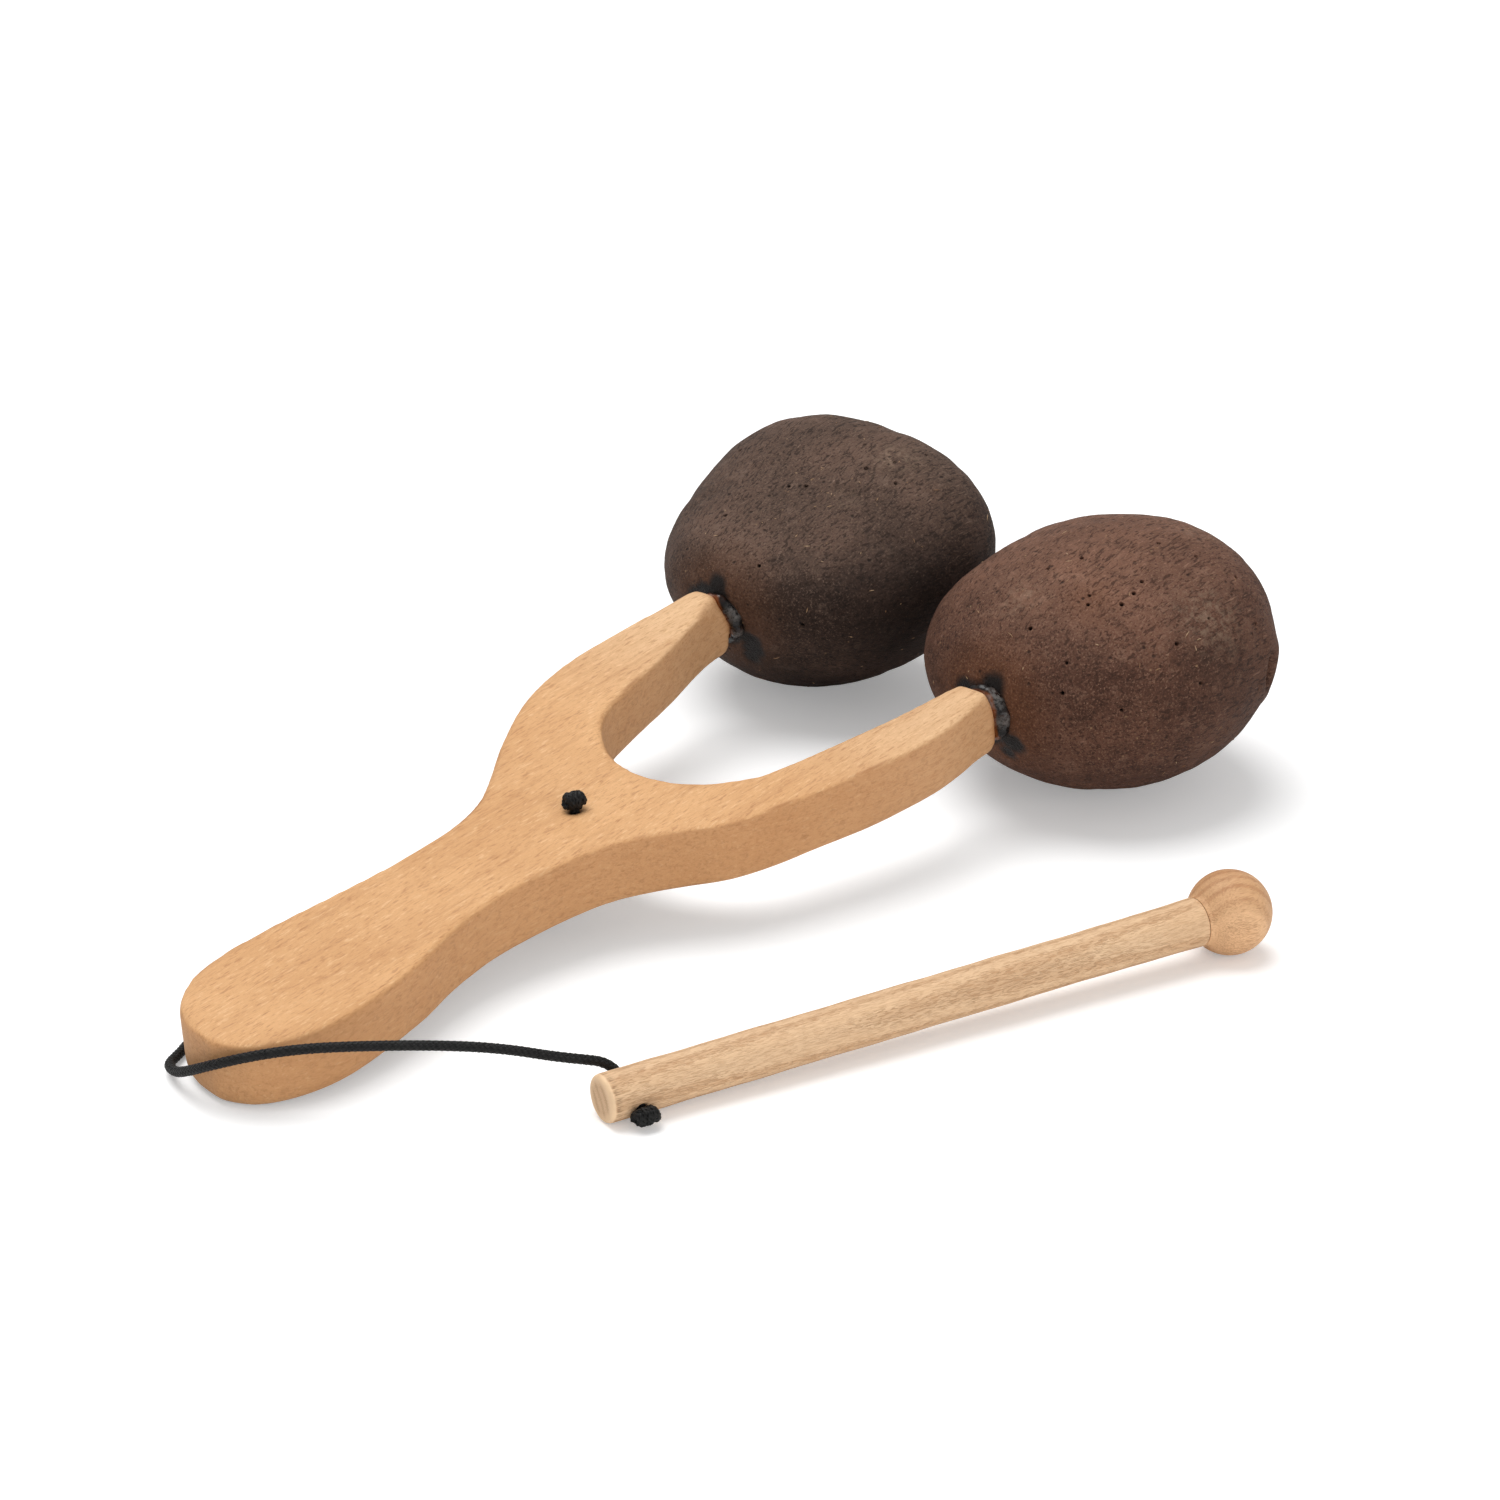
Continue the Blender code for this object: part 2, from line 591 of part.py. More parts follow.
def lift_frame(parent):
    """Frame on the lift joint, local Z along its level axis, square to the cord."""
    here = Vector(HINGE_POINTS["tether_lift"]) * MM
    after = Vector(CORD_PATH[CORD_PATH.index("tether_lift") + 1]) * MM
    run = after - here
    axis = Vector((run.y, -run.x, 0.0)).normalized()
    return Frame("tether_lift_axis", axis_matrix(here, Vector((0, 0, 1)), axis), parent)


def main():
    clear_scene()
    wood = make_material("handle_wood", (0.74, 0.44, 0.22), 0.5)
    pale_wood = make_material("stick_wood", (0.72, 0.46, 0.27), 0.55)
    ball_wood = make_material("ball_wood", (0.60, 0.32, 0.155), 0.45)
    dark_shell = make_material("left_shell_skin", (0.095, 0.062, 0.045), 0.8)
    red_shell = make_material("right_shell_skin", (0.125, 0.065, 0.045), 0.8)
    glue = make_material("glue", (0.012, 0.005, 0.004), 0.2)
    braid = make_material("cord_braid", (0.012, 0.011, 0.011), 0.45)

    design = Frame("instrument_frame", Matrix.Identity(4))
    tilt = Matrix.Translation((0, 0, -PLANK_DROP)) @ Matrix.Rotation(PLANK_TILT, 4, "X")
    plank = Frame("plank_frame", tilt, design)
    build_handle(plank, wood)
    left_tine = peg_matrix(plank, LEFT_TINE_X, LEFT_TINE_END * MM)
    right_tine = peg_matrix(plank, RIGHT_TINE_X, RIGHT_TINE_END * MM)
    build_shell("left", LEFT_SHELL, left_tine, design, dark_shell)
    build_shell("right", RIGHT_SHELL, right_tine, design, red_shell)
    build_collar("left", LEFT_SHELL, left_tine, design, glue, 0.4)
    build_collar("right", RIGHT_SHELL, right_tine, design, glue, 2.0)

    knot_draw = Frame("knot_draw_axis", tilt @ Matrix.Translation(CORD_HOLE), plank)
    build_knot("handle_knot", knot_draw.matrix, GAP, PLANK_THICKNESS, knot_draw, braid)

    swing = upright_frame("tether_swing", design)
    fold = upright_frame("tether_fold", swing)
    lift = lift_frame(fold)
    bend = upright_frame("tether_bend", lift)
    build_cord(plank, [design, swing, fold, lift, bend], braid)

    pivot = Frame("beater_pivot_axis", beater_matrix(), bend)
    build_stick(pivot, pale_wood)
    build_ball(pivot, ball_wood)
    far_side = pivot.matrix @ Matrix.Rotation(math.pi, 4, "X")
    build_knot("beater_knot", far_side, -STICK_RADIUS + GAP, STICK_RADIUS, pivot, braid)


main()
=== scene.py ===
"""Looks of the twin-shell knocker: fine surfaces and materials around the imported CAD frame.

Metres, +Z up, in the frame's own axes: +Y runs from the butt to the shells, +X towards the beater.
"""

import json
import math
import random

import bmesh
import bpy
import numpy as np
from mathutils import Matrix, Vector, kdtree, noise
from mathutils.bvhtree import BVHTree


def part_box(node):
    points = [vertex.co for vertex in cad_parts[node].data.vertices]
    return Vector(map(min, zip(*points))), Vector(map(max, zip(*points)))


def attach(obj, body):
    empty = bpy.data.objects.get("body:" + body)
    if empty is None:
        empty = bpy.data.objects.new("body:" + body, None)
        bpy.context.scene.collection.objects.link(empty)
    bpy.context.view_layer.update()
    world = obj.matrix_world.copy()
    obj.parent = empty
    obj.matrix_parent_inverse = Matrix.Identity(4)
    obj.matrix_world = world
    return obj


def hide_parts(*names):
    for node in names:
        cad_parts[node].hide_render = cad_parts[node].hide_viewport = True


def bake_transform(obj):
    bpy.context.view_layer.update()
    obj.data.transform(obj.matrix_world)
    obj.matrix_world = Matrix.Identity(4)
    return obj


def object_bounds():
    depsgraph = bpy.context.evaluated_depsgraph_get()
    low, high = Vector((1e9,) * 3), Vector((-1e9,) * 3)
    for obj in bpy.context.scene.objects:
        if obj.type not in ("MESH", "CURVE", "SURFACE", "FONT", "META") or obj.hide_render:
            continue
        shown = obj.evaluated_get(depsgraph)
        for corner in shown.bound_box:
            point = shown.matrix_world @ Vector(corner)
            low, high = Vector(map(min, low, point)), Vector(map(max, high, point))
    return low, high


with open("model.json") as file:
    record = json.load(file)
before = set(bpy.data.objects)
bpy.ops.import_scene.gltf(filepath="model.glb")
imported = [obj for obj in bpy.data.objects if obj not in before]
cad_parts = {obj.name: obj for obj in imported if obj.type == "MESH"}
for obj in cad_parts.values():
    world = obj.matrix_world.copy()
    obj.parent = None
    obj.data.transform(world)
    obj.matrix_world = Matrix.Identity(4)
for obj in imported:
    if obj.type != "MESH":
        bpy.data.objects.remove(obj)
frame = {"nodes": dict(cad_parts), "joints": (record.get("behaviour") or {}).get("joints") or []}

MM = 0.001
CAD_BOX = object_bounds()
BOX_CENTRE = (CAD_BOX[0] + CAD_BOX[1]) / 2
JOINTS = {joint["name"]: joint for joint in frame["joints"]}
ACROSS = Vector((1, 0, 0))

# Camera and light.
CAMERA_AZIMUTH = 40.69
CAMERA_ELEVATION = 24.67
CAMERA_DISTANCE = 1.2728
CAMERA_TARGET = Vector((-28.1, 36.0, -13.5)) * MM
LENS = 120.0
SKY_STRENGTH = 0.46
KEY_STRENGTH = 2.2
KEY_ANGLE = math.radians(48.0)
KEY_FROM = Vector((-0.36, 0.06, 1.0))
FILL_STRENGTH = 1.15
FILL_ANGLE = math.radians(50.0)
FILL_FROM = Vector((0.95, -0.27, 0.20))
FLOOR_GLOW = 0.27

# Handle.
HANDLE_VOXEL = 0.6 * MM
HANDLE_SOFTENING = 34
STAIN_REACH = 4.5 * MM
STAIN_FROM = 0.055

# Shells: the wall, each mouth's clear half widths and the grid of its fine surface.
# The right lip is cut a little aslant, which turns its opening towards the front.
SHELL_WALL = 4.0 * MM
MOUTH_HALF_WIDTH = 4.4 * MM
MOUTH_HALF_HEIGHT = 5.0 * MM
MOUTH_TURN = {"left": Vector(), "right": Vector((0.09, -0.12, -0.03))}
MOUTH_CONE = 24.0
LIP_SPREAD = 3.0 * MM
OUTSIDE = 0.2
SHELL_RAYS = 6000
SHELL_RINGS = 180
SHELL_SEGMENTS = 300
CAVITY_RINGS = 40
LIP_RINGS = 9
SMOOTH_DEGREE = 11
PIN_REFINE = 1.5 * MM
PIN_RADII = (0.42 * MM, 0.62 * MM)
PIN_DEPTH = 3.2

# Cord.
CORD_RADIUS = 1.25 * MM
CORD_STEP = 0.42 * MM
STRANDS_EACH_WAY = 6
BRAID_PITCH = 8.4 * MM
CORE_RADIUS = 0.86 * MM
STRAND_REACH = 0.95 * MM
STRAND_RISE = 0.13 * MM
STRAND_HALF_WIDTH = 0.44 * MM
STRAND_HALF_DEPTH = 0.21 * MM
BEND_REACH = 6.0 * MM
KNOT_TURNS = 3.1
KNOT_STEP = 0.3 * MM

# Glue: where it starts off the wood, its thinnest radius, its beads and its smears.
GLUE_GAP = 0.15 * MM
GLUE_LEAST = 1.35 * MM
GLUE_STEPS = 150
GLUE_VOXEL = 0.25 * MM
GLUE_SOFTENING = 9
TAR_REACH = 26 * MM
TAR_EDGE = (2.4 * MM, 3.9 * MM)

# Beater.
TAIL_ROUNDING = 1.1 * MM
NECK_FLARE = 22 * MM
SHOULDER = 0.9 * MM
HOLE_RADIUS = 1.55 * MM
HOLE_HALF_LENGTH = 9 * MM


# ---- meshes

def link(name, mesh):
    piece = bpy.data.objects.new(name, mesh)
    bpy.context.scene.collection.objects.link(piece)
    return piece


def dress(piece, material, body, node=None):
    """Gives a piece its material and body, and the CAD node whose place it takes."""
    piece.data.materials.clear()
    piece.data.materials.append(material)
    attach(piece, body)
    if node:
        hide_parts(node)


def settle(piece, place):
    """Moves a piece's points from their own frame to place, and keeps the old ones as "grain"."""
    mesh = piece.data
    set_values(mesh, "grain", coordinates(mesh), "FLOAT_VECTOR", "vector")
    mesh.transform(place)
    mesh.update()


def axes(origin, x_axis, z_axis):
    """Matrix of a frame at origin, with local Z along z_axis and local X near x_axis."""
    z_axis = z_axis.normalized()
    y_axis = z_axis.cross(x_axis).normalized()
    x_axis = y_axis.cross(z_axis)
    return Matrix.Translation(origin) @ Matrix((x_axis, y_axis, z_axis)).transposed().to_4x4()


def welded(node):
    """The node's skin as a bmesh whose triangles share their corners."""
    skin = bmesh.new()
    skin.from_mesh(frame["nodes"][node].data)
    bmesh.ops.remove_doubles(skin, verts=skin.verts, dist=1e-6)
    bmesh.ops.recalc_face_normals(skin, faces=skin.faces)
    skin.normal_update()
    return skin


def changed(piece, kind, **settings):
    """Adds a modifier to a piece and bakes it into its mesh."""
    modifier = piece.modifiers.new(kind.lower(), kind)
    for key, value in settings.items():
        setattr(modifier, key, value)
    evaluated = piece.evaluated_get(bpy.context.evaluated_depsgraph_get())
    mesh = bpy.data.meshes.new_from_object(evaluated)
    piece.modifiers.clear()
    piece.data = mesh


def coordinates(mesh):
    flat = np.empty(len(mesh.vertices) * 3, np.float32)
    mesh.vertices.foreach_get("co", flat)
    return flat.reshape(-1, 3).astype(float)


def normals(mesh):
    flat = np.empty(len(mesh.vertices) * 3, np.float32)
    mesh.vertex_normals.foreach_get("vector", flat)
    return flat.reshape(-1, 3).astype(float)


def set_coordinates(mesh, points):
    mesh.vertices.foreach_set("co", points.astype(np.float32).ravel())
    mesh.update()


def set_values(mesh, name, values, kind="FLOAT", key="value"):
    attribute = mesh.attributes.new(name, kind, "POINT")
    attribute.data.foreach_set(key, np.asarray(values, np.float32).ravel())


def smooth(mesh):
    mesh.polygons.foreach_set("use_smooth", [True] * len(mesh.polygons))


def middle_of(points):
    return sum(points, Vector()) / len(points)


def fractal(points, wavelength, octaves=3, seed=0.0):
    """Smooth noise in about -1..1 at each point, with the given wavelength in metres."""
    shift = Vector((seed, 1.7 * seed, -2.3 * seed))
    scale = 1.0 / wavelength
    return np.array([noise.fractal(Vector(p) * scale + shift, 1.0, 2.0, octaves)
                     for p in points])


def step(values, low, high):
    share = np.clip((values - low) / (high - low), 0.0, 1.0)
    return share * share * (3.0 - 2.0 * share)


class Skin:
    """Closed tubes gathered into one mesh."""

    def __init__(self):
        self.points, self.faces, self.marks, self.count = [], [], [], 0

    def loft(self, rings, marks=None):
        """A tube through rings of points, closed by a point at each end."""
        total, around = rings.shape[:2]
        grid = np.arange(total * around).reshape(total, around) + self.count
        following = np.roll(grid, -1, axis=1)
        quads = np.stack([grid[:-1], following[:-1], following[1:], grid[1:]], -1)
        self.faces += quads.reshape(-1, 4).tolist()
        first, last = self.count + total * around, self.count + total * around + 1
        self.faces += [[first, b, a] for a, b in zip(grid[0].tolist(), following[0].tolist())]
        self.faces += [[last, a, b] for a, b in zip(grid[-1].tolist(), following[-1].tolist())]
        self.points += [rings.reshape(-1, 3), rings[:1].mean(1), rings[-1:].mean(1)]
        if marks is not None:
            self.marks += [marks.reshape(-1, 3), marks[:1].mean(1), marks[-1:].mean(1)]
        self.count += total * around + 2

    def mesh(self, name):
        mesh = bpy.data.meshes.new(name)
        mesh.from_pydata(np.concatenate(self.points).tolist(), [], self.faces)
        smooth(mesh)
        if self.marks:
            set_values(mesh, "strand", np.concatenate(self.marks), "FLOAT_VECTOR", "vector")
        return mesh


# ---- material graphs

def scaled(colour, share):
    return tuple(share * part for part in colour)


class Graph:
    """A node material written as nested calls; each call returns a socket."""

    def __init__(self, name):
        self.material = bpy.data.materials.new(name)
        self.material.use_nodes = True
        self.tree = self.material.node_tree
        self.shader = self.tree.nodes["Principled BSDF"]
        self.colour = None

    def put(self, socket, value):
        if isinstance(value, bpy.types.NodeSocket):
            self.tree.links.new(value, socket)
        elif isinstance(value, (tuple, list)) and socket.type == "RGBA":
            socket.default_value = (*value[:3], 1.0)
        else:
            socket.default_value = value

    def node(self, kind, **settings):
        made = self.tree.nodes.new(kind)
        for key, value in settings.items():
            setattr(made, key, value)
        return made

    def fed(self, made, **values):
        for key, value in values.items():
            self.put(made.inputs[key], value)
        return made

    def result(self, kind, output, *values, **settings):
        made = self.node(kind, **settings)
        for socket, value in zip(made.inputs, values):
            self.put(socket, value)
        return made.outputs[output]

    def place(self):
        return self.node("ShaderNodeTexCoord").outputs["Object"]

    def grain(self):
        return self.attribute("grain", vector=True)

    def facing(self):
        return self.node("ShaderNodeTexCoord").outputs["Normal"]

    def attribute(self, name, vector=False):
        made = self.node("ShaderNodeAttribute", attribute_name=name)
        return made.outputs["Vector" if vector else "Fac"]

    def mapped(self, vector, scale, turn=(0, 0, 0)):
        made = self.fed(self.node("ShaderNodeMapping"), Vector=vector, Rotation=turn, Scale=scale)
        return made.outputs["Vector"]

    def noise(self, vector, scale, detail=3.0, rough=0.55, distortion=0.0):
        made = self.fed(self.node("ShaderNodeTexNoise"), Vector=vector, Scale=scale, Detail=detail,
                        Roughness=rough, Distortion=distortion)
        return made.outputs["Fac"]

    def streaks(self, vector, scale, detail=2.0, rough=0.55, distortion=0.0, turn=(0, 0, 0)):
        return self.noise(self.mapped(vector, scale, turn), 1.0, detail, rough, distortion)

    def cells(self, vector, scale):
        made = self.fed(self.node("ShaderNodeTexVoronoi"), Vector=vector, Scale=scale)
        return made.outputs["Distance"]

    def math(self, operation, first, second=0.0):
        return self.result("ShaderNodeMath", 0, first, second, operation=operation)

    def plus(self, first, second):
        return self.math("ADD", first, second)

    def times(self, first, second):
        return self.math("MULTIPLY", first, second)

    def part(self, vector, axis):
        return self.result("ShaderNodeSeparateXYZ", axis, vector)

    def moved(self, vector, offset):
        return self.result("ShaderNodeVectorMath", 0, vector, offset, operation="ADD")

    def band(self, value, low, high, start=0.0, end=1.0):
        """value from low..high, smoothed to start..end and held outside."""
        made = self.node("ShaderNodeMapRange", interpolation_type="SMOOTHSTEP")
        for key, number in zip(("Value", "From Min", "From Max", "To Min", "To Max"),
                               (value, low, high, start, end)):
            self.put(made.inputs[key], number)
        return made.outputs["Result"]

    def mix(self, share, first, second, mode="MIX"):
        made = self.node("ShaderNodeMix", data_type="RGBA", blend_type=mode)
        self.put(made.inputs["Factor"], share)
        self.put(made.inputs[6], first)
        self.put(made.inputs[7], second)
        return made.outputs[2]

    def lay(self, share, tone, mode="MIX"):
        """Lays a tone over the colour so far."""
        self.colour = self.mix(share, self.colour, tone, mode)

    def lay_bands(self, *layers):
        """Lays tones over the colour, each where its (value, low, high, start, end) is high."""
        for *band, tone in layers:
            self.lay(self.band(*band), tone)

    def bump(self, height, distance, strength=1.0):
        made = self.fed(self.node("ShaderNodeBump"), Height=height, Distance=distance,
                        Strength=strength)
        return made.outputs["Normal"]

    def wave(self, phase):
        return self.plus(self.times(self.math("SINE", phase), 0.5), 0.5)

    def surface(self, roughness, normal, specular=0.5):
        self.put(self.shader.inputs["Base Color"], self.colour)
        self.put(self.shader.inputs["Roughness"], roughness)
        self.put(self.shader.inputs["Normal"], normal)
        self.put(self.shader.inputs["Specular IOR Level"], specular)
        return self.material


def handle_wood():
    """Honey-tan close-grained wood, sanded smooth; grain Y runs along the fibres."""
    g = Graph("handle_wood")
    place = g.grain()
    drift = g.streaks(place, (34, 6, 34), 2.0)
    x = g.plus(g.part(place, "X"), 0.034)
    z = g.plus(g.part(place, "Z"), 0.062)
    reach = g.math("SQRT", g.plus(g.times(x, x), g.times(z, z)))
    phase = g.plus(g.times(reach, 1750.0), g.times(drift, 26.0))
    rings = g.wave(phase)
    fibre = g.streaks(place, (2400, 330, 2400), 4.0, 0.62)
    dashes = g.streaks(place, (1500, 260, 1500), 2.0, 0.55)
    streak = g.streaks(place, (420, 26, 420), 3.0, 0.55)
    sand = g.noise(place, 2300.0, 2.0, 0.6)
    curl = g.streaks(place, (950, 420, 950), 4.0, 0.65, 0.8)
    cloud = g.noise(place, 24.0, 3.0)
    pale, mid, dark = (0.745, 0.430, 0.205), (0.64, 0.345, 0.152), (0.46, 0.215, 0.085)
    g.colour = g.mix(g.band(cloud, 0.30, 0.72), pale, mid)
    forward = g.band(g.part(place, "Y"), 0.0, 0.06, 0.0, 0.55)
    g.lay(forward, (0.80, 0.56, 0.34))
    g.lay(g.times(rings, 0.13), dark)
    g.lay_bands(
        (streak, 0.50, 0.72, 0.0, 0.30, dark),
        (fibre, 0.50, 0.70, 0.0, 0.50, dark),
        (dashes, 0.58, 0.70, 0.0, 0.50, (0.40, 0.175, 0.07)),
        (dashes, 0.30, 0.42, 0.40, 0.0, (0.88, 0.60, 0.34)),
        (sand, 0.52, 0.72, 0.0, 0.22, dark))
    # Painted shade on the side faces, which the light from above leaves darker, together with the
    # side grain's own darker tone.
    upright = g.math("ABSOLUTE", g.part(g.facing(), "Z"))
    side = g.band(upright, 0.35, 0.85, 1.0, 0.0)
    g.lay(g.times(side, 0.55), (0.50, 0.24, 0.100))
    g.lay(g.times(side, g.band(curl, 0.48, 0.68, 0.0, 0.32)), (0.31, 0.135, 0.052))
    # Darker in patches along the rounded rim of the top face.
    rim = g.times(g.band(upright, 0.45, 0.80), g.band(upright, 0.86, 0.985, 1.0, 0.0))
    rim_patches = g.band(g.noise(place, 42.0, 2.0), 0.45, 0.68)
    g.lay(g.times(rim, g.times(rim_patches, 0.7)), (0.33, 0.135, 0.05))
    stain = g.attribute("stain")
    g.lay(g.times(stain, 0.75), (0.30, 0.105, 0.024))
    height = g.plus(g.times(fibre, 0.7), g.times(sand, 0.35))
    height = g.plus(height, g.times(curl, 0.35))
    rough = g.band(fibre, 0.2, 0.8, 0.52, 0.68)
    bounced = g.node("ShaderNodeLightPath").outputs["Is Diffuse Ray"]
    g.lay(g.times(bounced, 0.7), (0.42, 0.41, 0.40))
    return g.surface(rough, g.bump(height, 0.00026, 0.7), 0.26)


def turned_wood(name, pale, mid, dark, layer, tilt, figure, pores, painted_shade_reach, figure_and_painted_light_reach):
    """Turned hardwood: growth layers across X, cut by the surface, with short pores along Z;
    painted shade away from X, painted light towards X and a painted highlight on the tail's edge.
    """
    g = Graph(name)
    place = g.grain()
    drift = g.streaks(place, (95, 95, 17), 2.0)
    flat = g.plus(g.part(place, "X"), g.times(g.part(place, "Z"), tilt))
    bowed = g.times(g.math("POWER", g.math("ABSOLUTE", g.part(place, "Y")), 2.0), 20.0)
    phase = g.plus(g.times(g.plus(flat, bowed), math.tau / layer),
                   g.times(drift, figure))
    rings = g.wave(phase)
    fine = g.streaks(place, (3000, 3000, 300), 3.0, 0.6)
    pore = g.streaks(place, (4200, 4200, 460), 2.0, 0.5, 0.4)
    g.colour = g.mix(g.noise(place, 55.0, 2.0), pale, mid)
    g.lay(g.times(g.band(rings, 0.45, 1.0), 0.40), dark)
    g.lay_bands(
        # Painted shade: darker on the side away from local X.
        (flat, -painted_shade_reach, 0.0, 0.55, 0.0, dark),
        # Painted light from below: paler towards local X, with the figure's pale centre at its
        # pole.
        (flat, 0.1 * figure_and_painted_light_reach, figure_and_painted_light_reach, 0.0, 0.5, scaled(pale, 1.22)),
        (flat, 0.93 * figure_and_painted_light_reach, figure_and_painted_light_reach, 0.0, 0.45, scaled(pale, 1.3)),
        (fine, 0.50, 0.72, 0.0, 0.45, dark),
        (fine, 0.28, 0.44, 0.35, 0.0, scaled(pale, 1.15)))
    marks = g.times(g.band(pore, 0.51, 0.60), g.band(rings, 0.05, 0.75, 0.45, 1.0))
    g.lay(g.times(marks, pores), dark)
    # Painted highlight: paler where the tail's edge rounds off.
    g.lay(g.attribute("painted_tail_highlight"), scaled(pale, 1.12))
    g.lay(g.times(g.attribute("torn"), g.band(pore, 0.44, 0.54)), scaled(dark, 0.5))
    height = g.math("SUBTRACT", g.times(fine, 0.5), g.times(marks, 0.8))
    return g.surface(g.band(fine, 0.2, 0.8, 0.48, 0.64), g.bump(height, 0.00024, 0.7), 0.30)


def shell_skin(name, deep, mid, light, warm, seed):
    """Matte woody nut shell: fibres along Y, mottling and scuffs; painted light on upward faces,
    painted shade with darker patches in given places, and painted shade in the dents and pinholes.
    """
    g = Graph(name)
    place = g.moved(g.place(), (seed, 0.0, 0.0))
    cloud = g.noise(place, 42.0, 4.0, 0.6)
    blotch = g.noise(place, 190.0, 4.0, 0.65)
    grain = g.noise(place, 1700.0, 5.0, 0.7)
    crease = g.streaks(place, (1300, 300, 1300), 4.0, 0.62, 0.8, turn=(0.1, 0.0, 0.3))
    hair = g.streaks(place, (2600, 230, 1700), 2.0, 0.5, turn=(0.0, 0.35, 0.25))
    black = scaled(deep, 0.42)
    g.colour = g.mix(g.band(cloud, 0.32, 0.70), deep, mid)
    g.lay_bands(
        (blotch, 0.52, 0.70, 0.0, 0.50, black),
        (blotch, 0.30, 0.46, 0.35, 0.0, light),
        (grain, 0.50, 0.68, 0.0, 0.70, light),
        (grain, 0.32, 0.46, 0.65, 0.0, black))
    # Painted light: faces turned upwards get the light tone added, as if lit from above.
    upward = g.part(g.facing(), "Z")
    g.lay(g.band(upward, 0.5, 1.0, 0.0, 0.28), light, "ADD")
    g.lay_bands(
        (crease, 0.51, 0.61, 0.0, 0.72, black),
        (hair, 0.62, 0.74, 0.0, 0.45, scaled(light, 1.7)))
    glow = g.times(g.attribute("warm"), g.band(grain, 0.25, 0.65, 0.35, 1.0))
    g.lay(g.times(glow, 0.4), warm)
    scuff = g.times(g.attribute("scuff"), g.band(g.noise(place, 480.0, 5.0, 0.7), 0.42, 0.66))
    g.lay(g.times(scuff, 0.6), (0.40, 0.275, 0.19))
    # Painted shade, with the shell's own darker patches: near black in the given patches, low down
    # and on the shaded side.
    g.lay(g.times(g.attribute("painted_shade_and_dark"), 0.85), (0.010, 0.006, 0.005))
    speck = g.band(g.cells(g.mapped(place, (1.0, 0.75, 1.0)), 330.0), 0.06, 0.13, 1.0, 0.0)
    rare = g.band(g.noise(place, 210.0, 1.0), 0.60, 0.68)
    g.lay(g.times(g.times(speck, rare), 0.6), (0.40, 0.24, 0.13))
    tar = g.attribute("tar")
    g.lay(tar, (0.010, 0.007, 0.006))
    # Painted shade in small dents, which the bump also sinks.
    dent = g.band(g.cells(g.moved(place, (0.3, 0.1, 0.2)), 290.0), 0.06, 0.20, 1.0, 0.0)
    pitted = g.times(dent, g.band(g.noise(place, 130.0, 1.0), 0.50, 0.58))
    g.lay(g.times(pitted, 0.75), scaled(deep, 0.2))
    # Painted shade: each pinhole is filled near black.
    g.lay(g.attribute("pit"), (0.004, 0.003, 0.002))
    height = g.plus(g.times(grain, 0.6), g.times(crease, -0.6))
    height = g.plus(height, g.times(blotch, -0.8))
    height = g.math("SUBTRACT", height, g.times(pitted, 0.6))
    rough = g.math("SUBTRACT", g.band(grain, 0.3, 0.7, 0.62, 0.82), g.times(tar, 0.36))
    return g.surface(rough, g.bump(height, 0.0011, 0.8), 0.16)


def glue_gloss():
    """Dark resin: glossy, frosted in patches that show painted sheen on faces toward the camera,
    amber where it thins out on the wood.
    """
    g = Graph("glue_gloss")
    place = g.place()
    blot = g.noise(place, 260.0, 4.0, 0.6)
    frost_and_sheen = g.times(g.attribute("frost_and_sheen"), g.band(g.noise(place, 800.0, 4.0, 0.7), 0.36, 0.62))
    g.colour = g.mix(g.band(blot, 0.40, 0.70), (0.005, 0.004, 0.004), (0.024, 0.010, 0.006))
    g.lay(g.times(g.attribute("thin"), 0.9), (0.17, 0.045, 0.010))
    # Grey frost in patches, kept to faces toward the camera, so it also paints sheen.
    g.lay(g.times(frost_and_sheen, 0.5), (0.22, 0.205, 0.19))
    height = g.plus(blot, g.times(g.noise(place, 1400.0, 3.0), 0.25))
    rough = g.band(frost_and_sheen, 0.0, 0.6, 0.20, 0.6)
    return g.surface(rough, g.bump(height, 0.0004, 0.5), 0.30)


def cord_nylon():
    """Black satin braid: each strand has fine filaments along it."""
    g = Graph("cord_nylon")
    strand = g.attribute("strand", vector=True)
    filament = g.streaks(strand, (9.0, 260.0, 1.0), 3.0, 0.6)
    patch = g.noise(g.place(), 160.0, 3.0)
    g.colour = g.mix(g.band(filament, 0.35, 0.75), (0.003, 0.003, 0.003), (0.020, 0.019, 0.018))
    g.lay(g.band(patch, 0.60, 0.80, 0.0, 0.15), (0.035, 0.032, 0.030))
    rough = g.band(filament, 0.2, 0.8, 0.36, 0.6)
    return g.surface(rough, g.bump(filament, 0.00014, 0.8), 0.22)


def fibre_tan():
    g = Graph("fibre_tan")
    tone = g.noise(g.place(), 350.0, 2.0)
    g.colour = g.mix(g.band(tone, 0.35, 0.65), (0.24, 0.12, 0.055), (0.50, 0.33, 0.19))
    return g.surface(0.7, g.bump(g.noise(g.place(), 3000.0, 2.0), 0.0001, 0.4), 0.3)


# ---- handle

PLANK_NORMAL = Vector(JOINTS["knot_draw"]["axis"]).normalized()
GRAIN = PLANK_NORMAL.cross(ACROSS)
TREES = {}


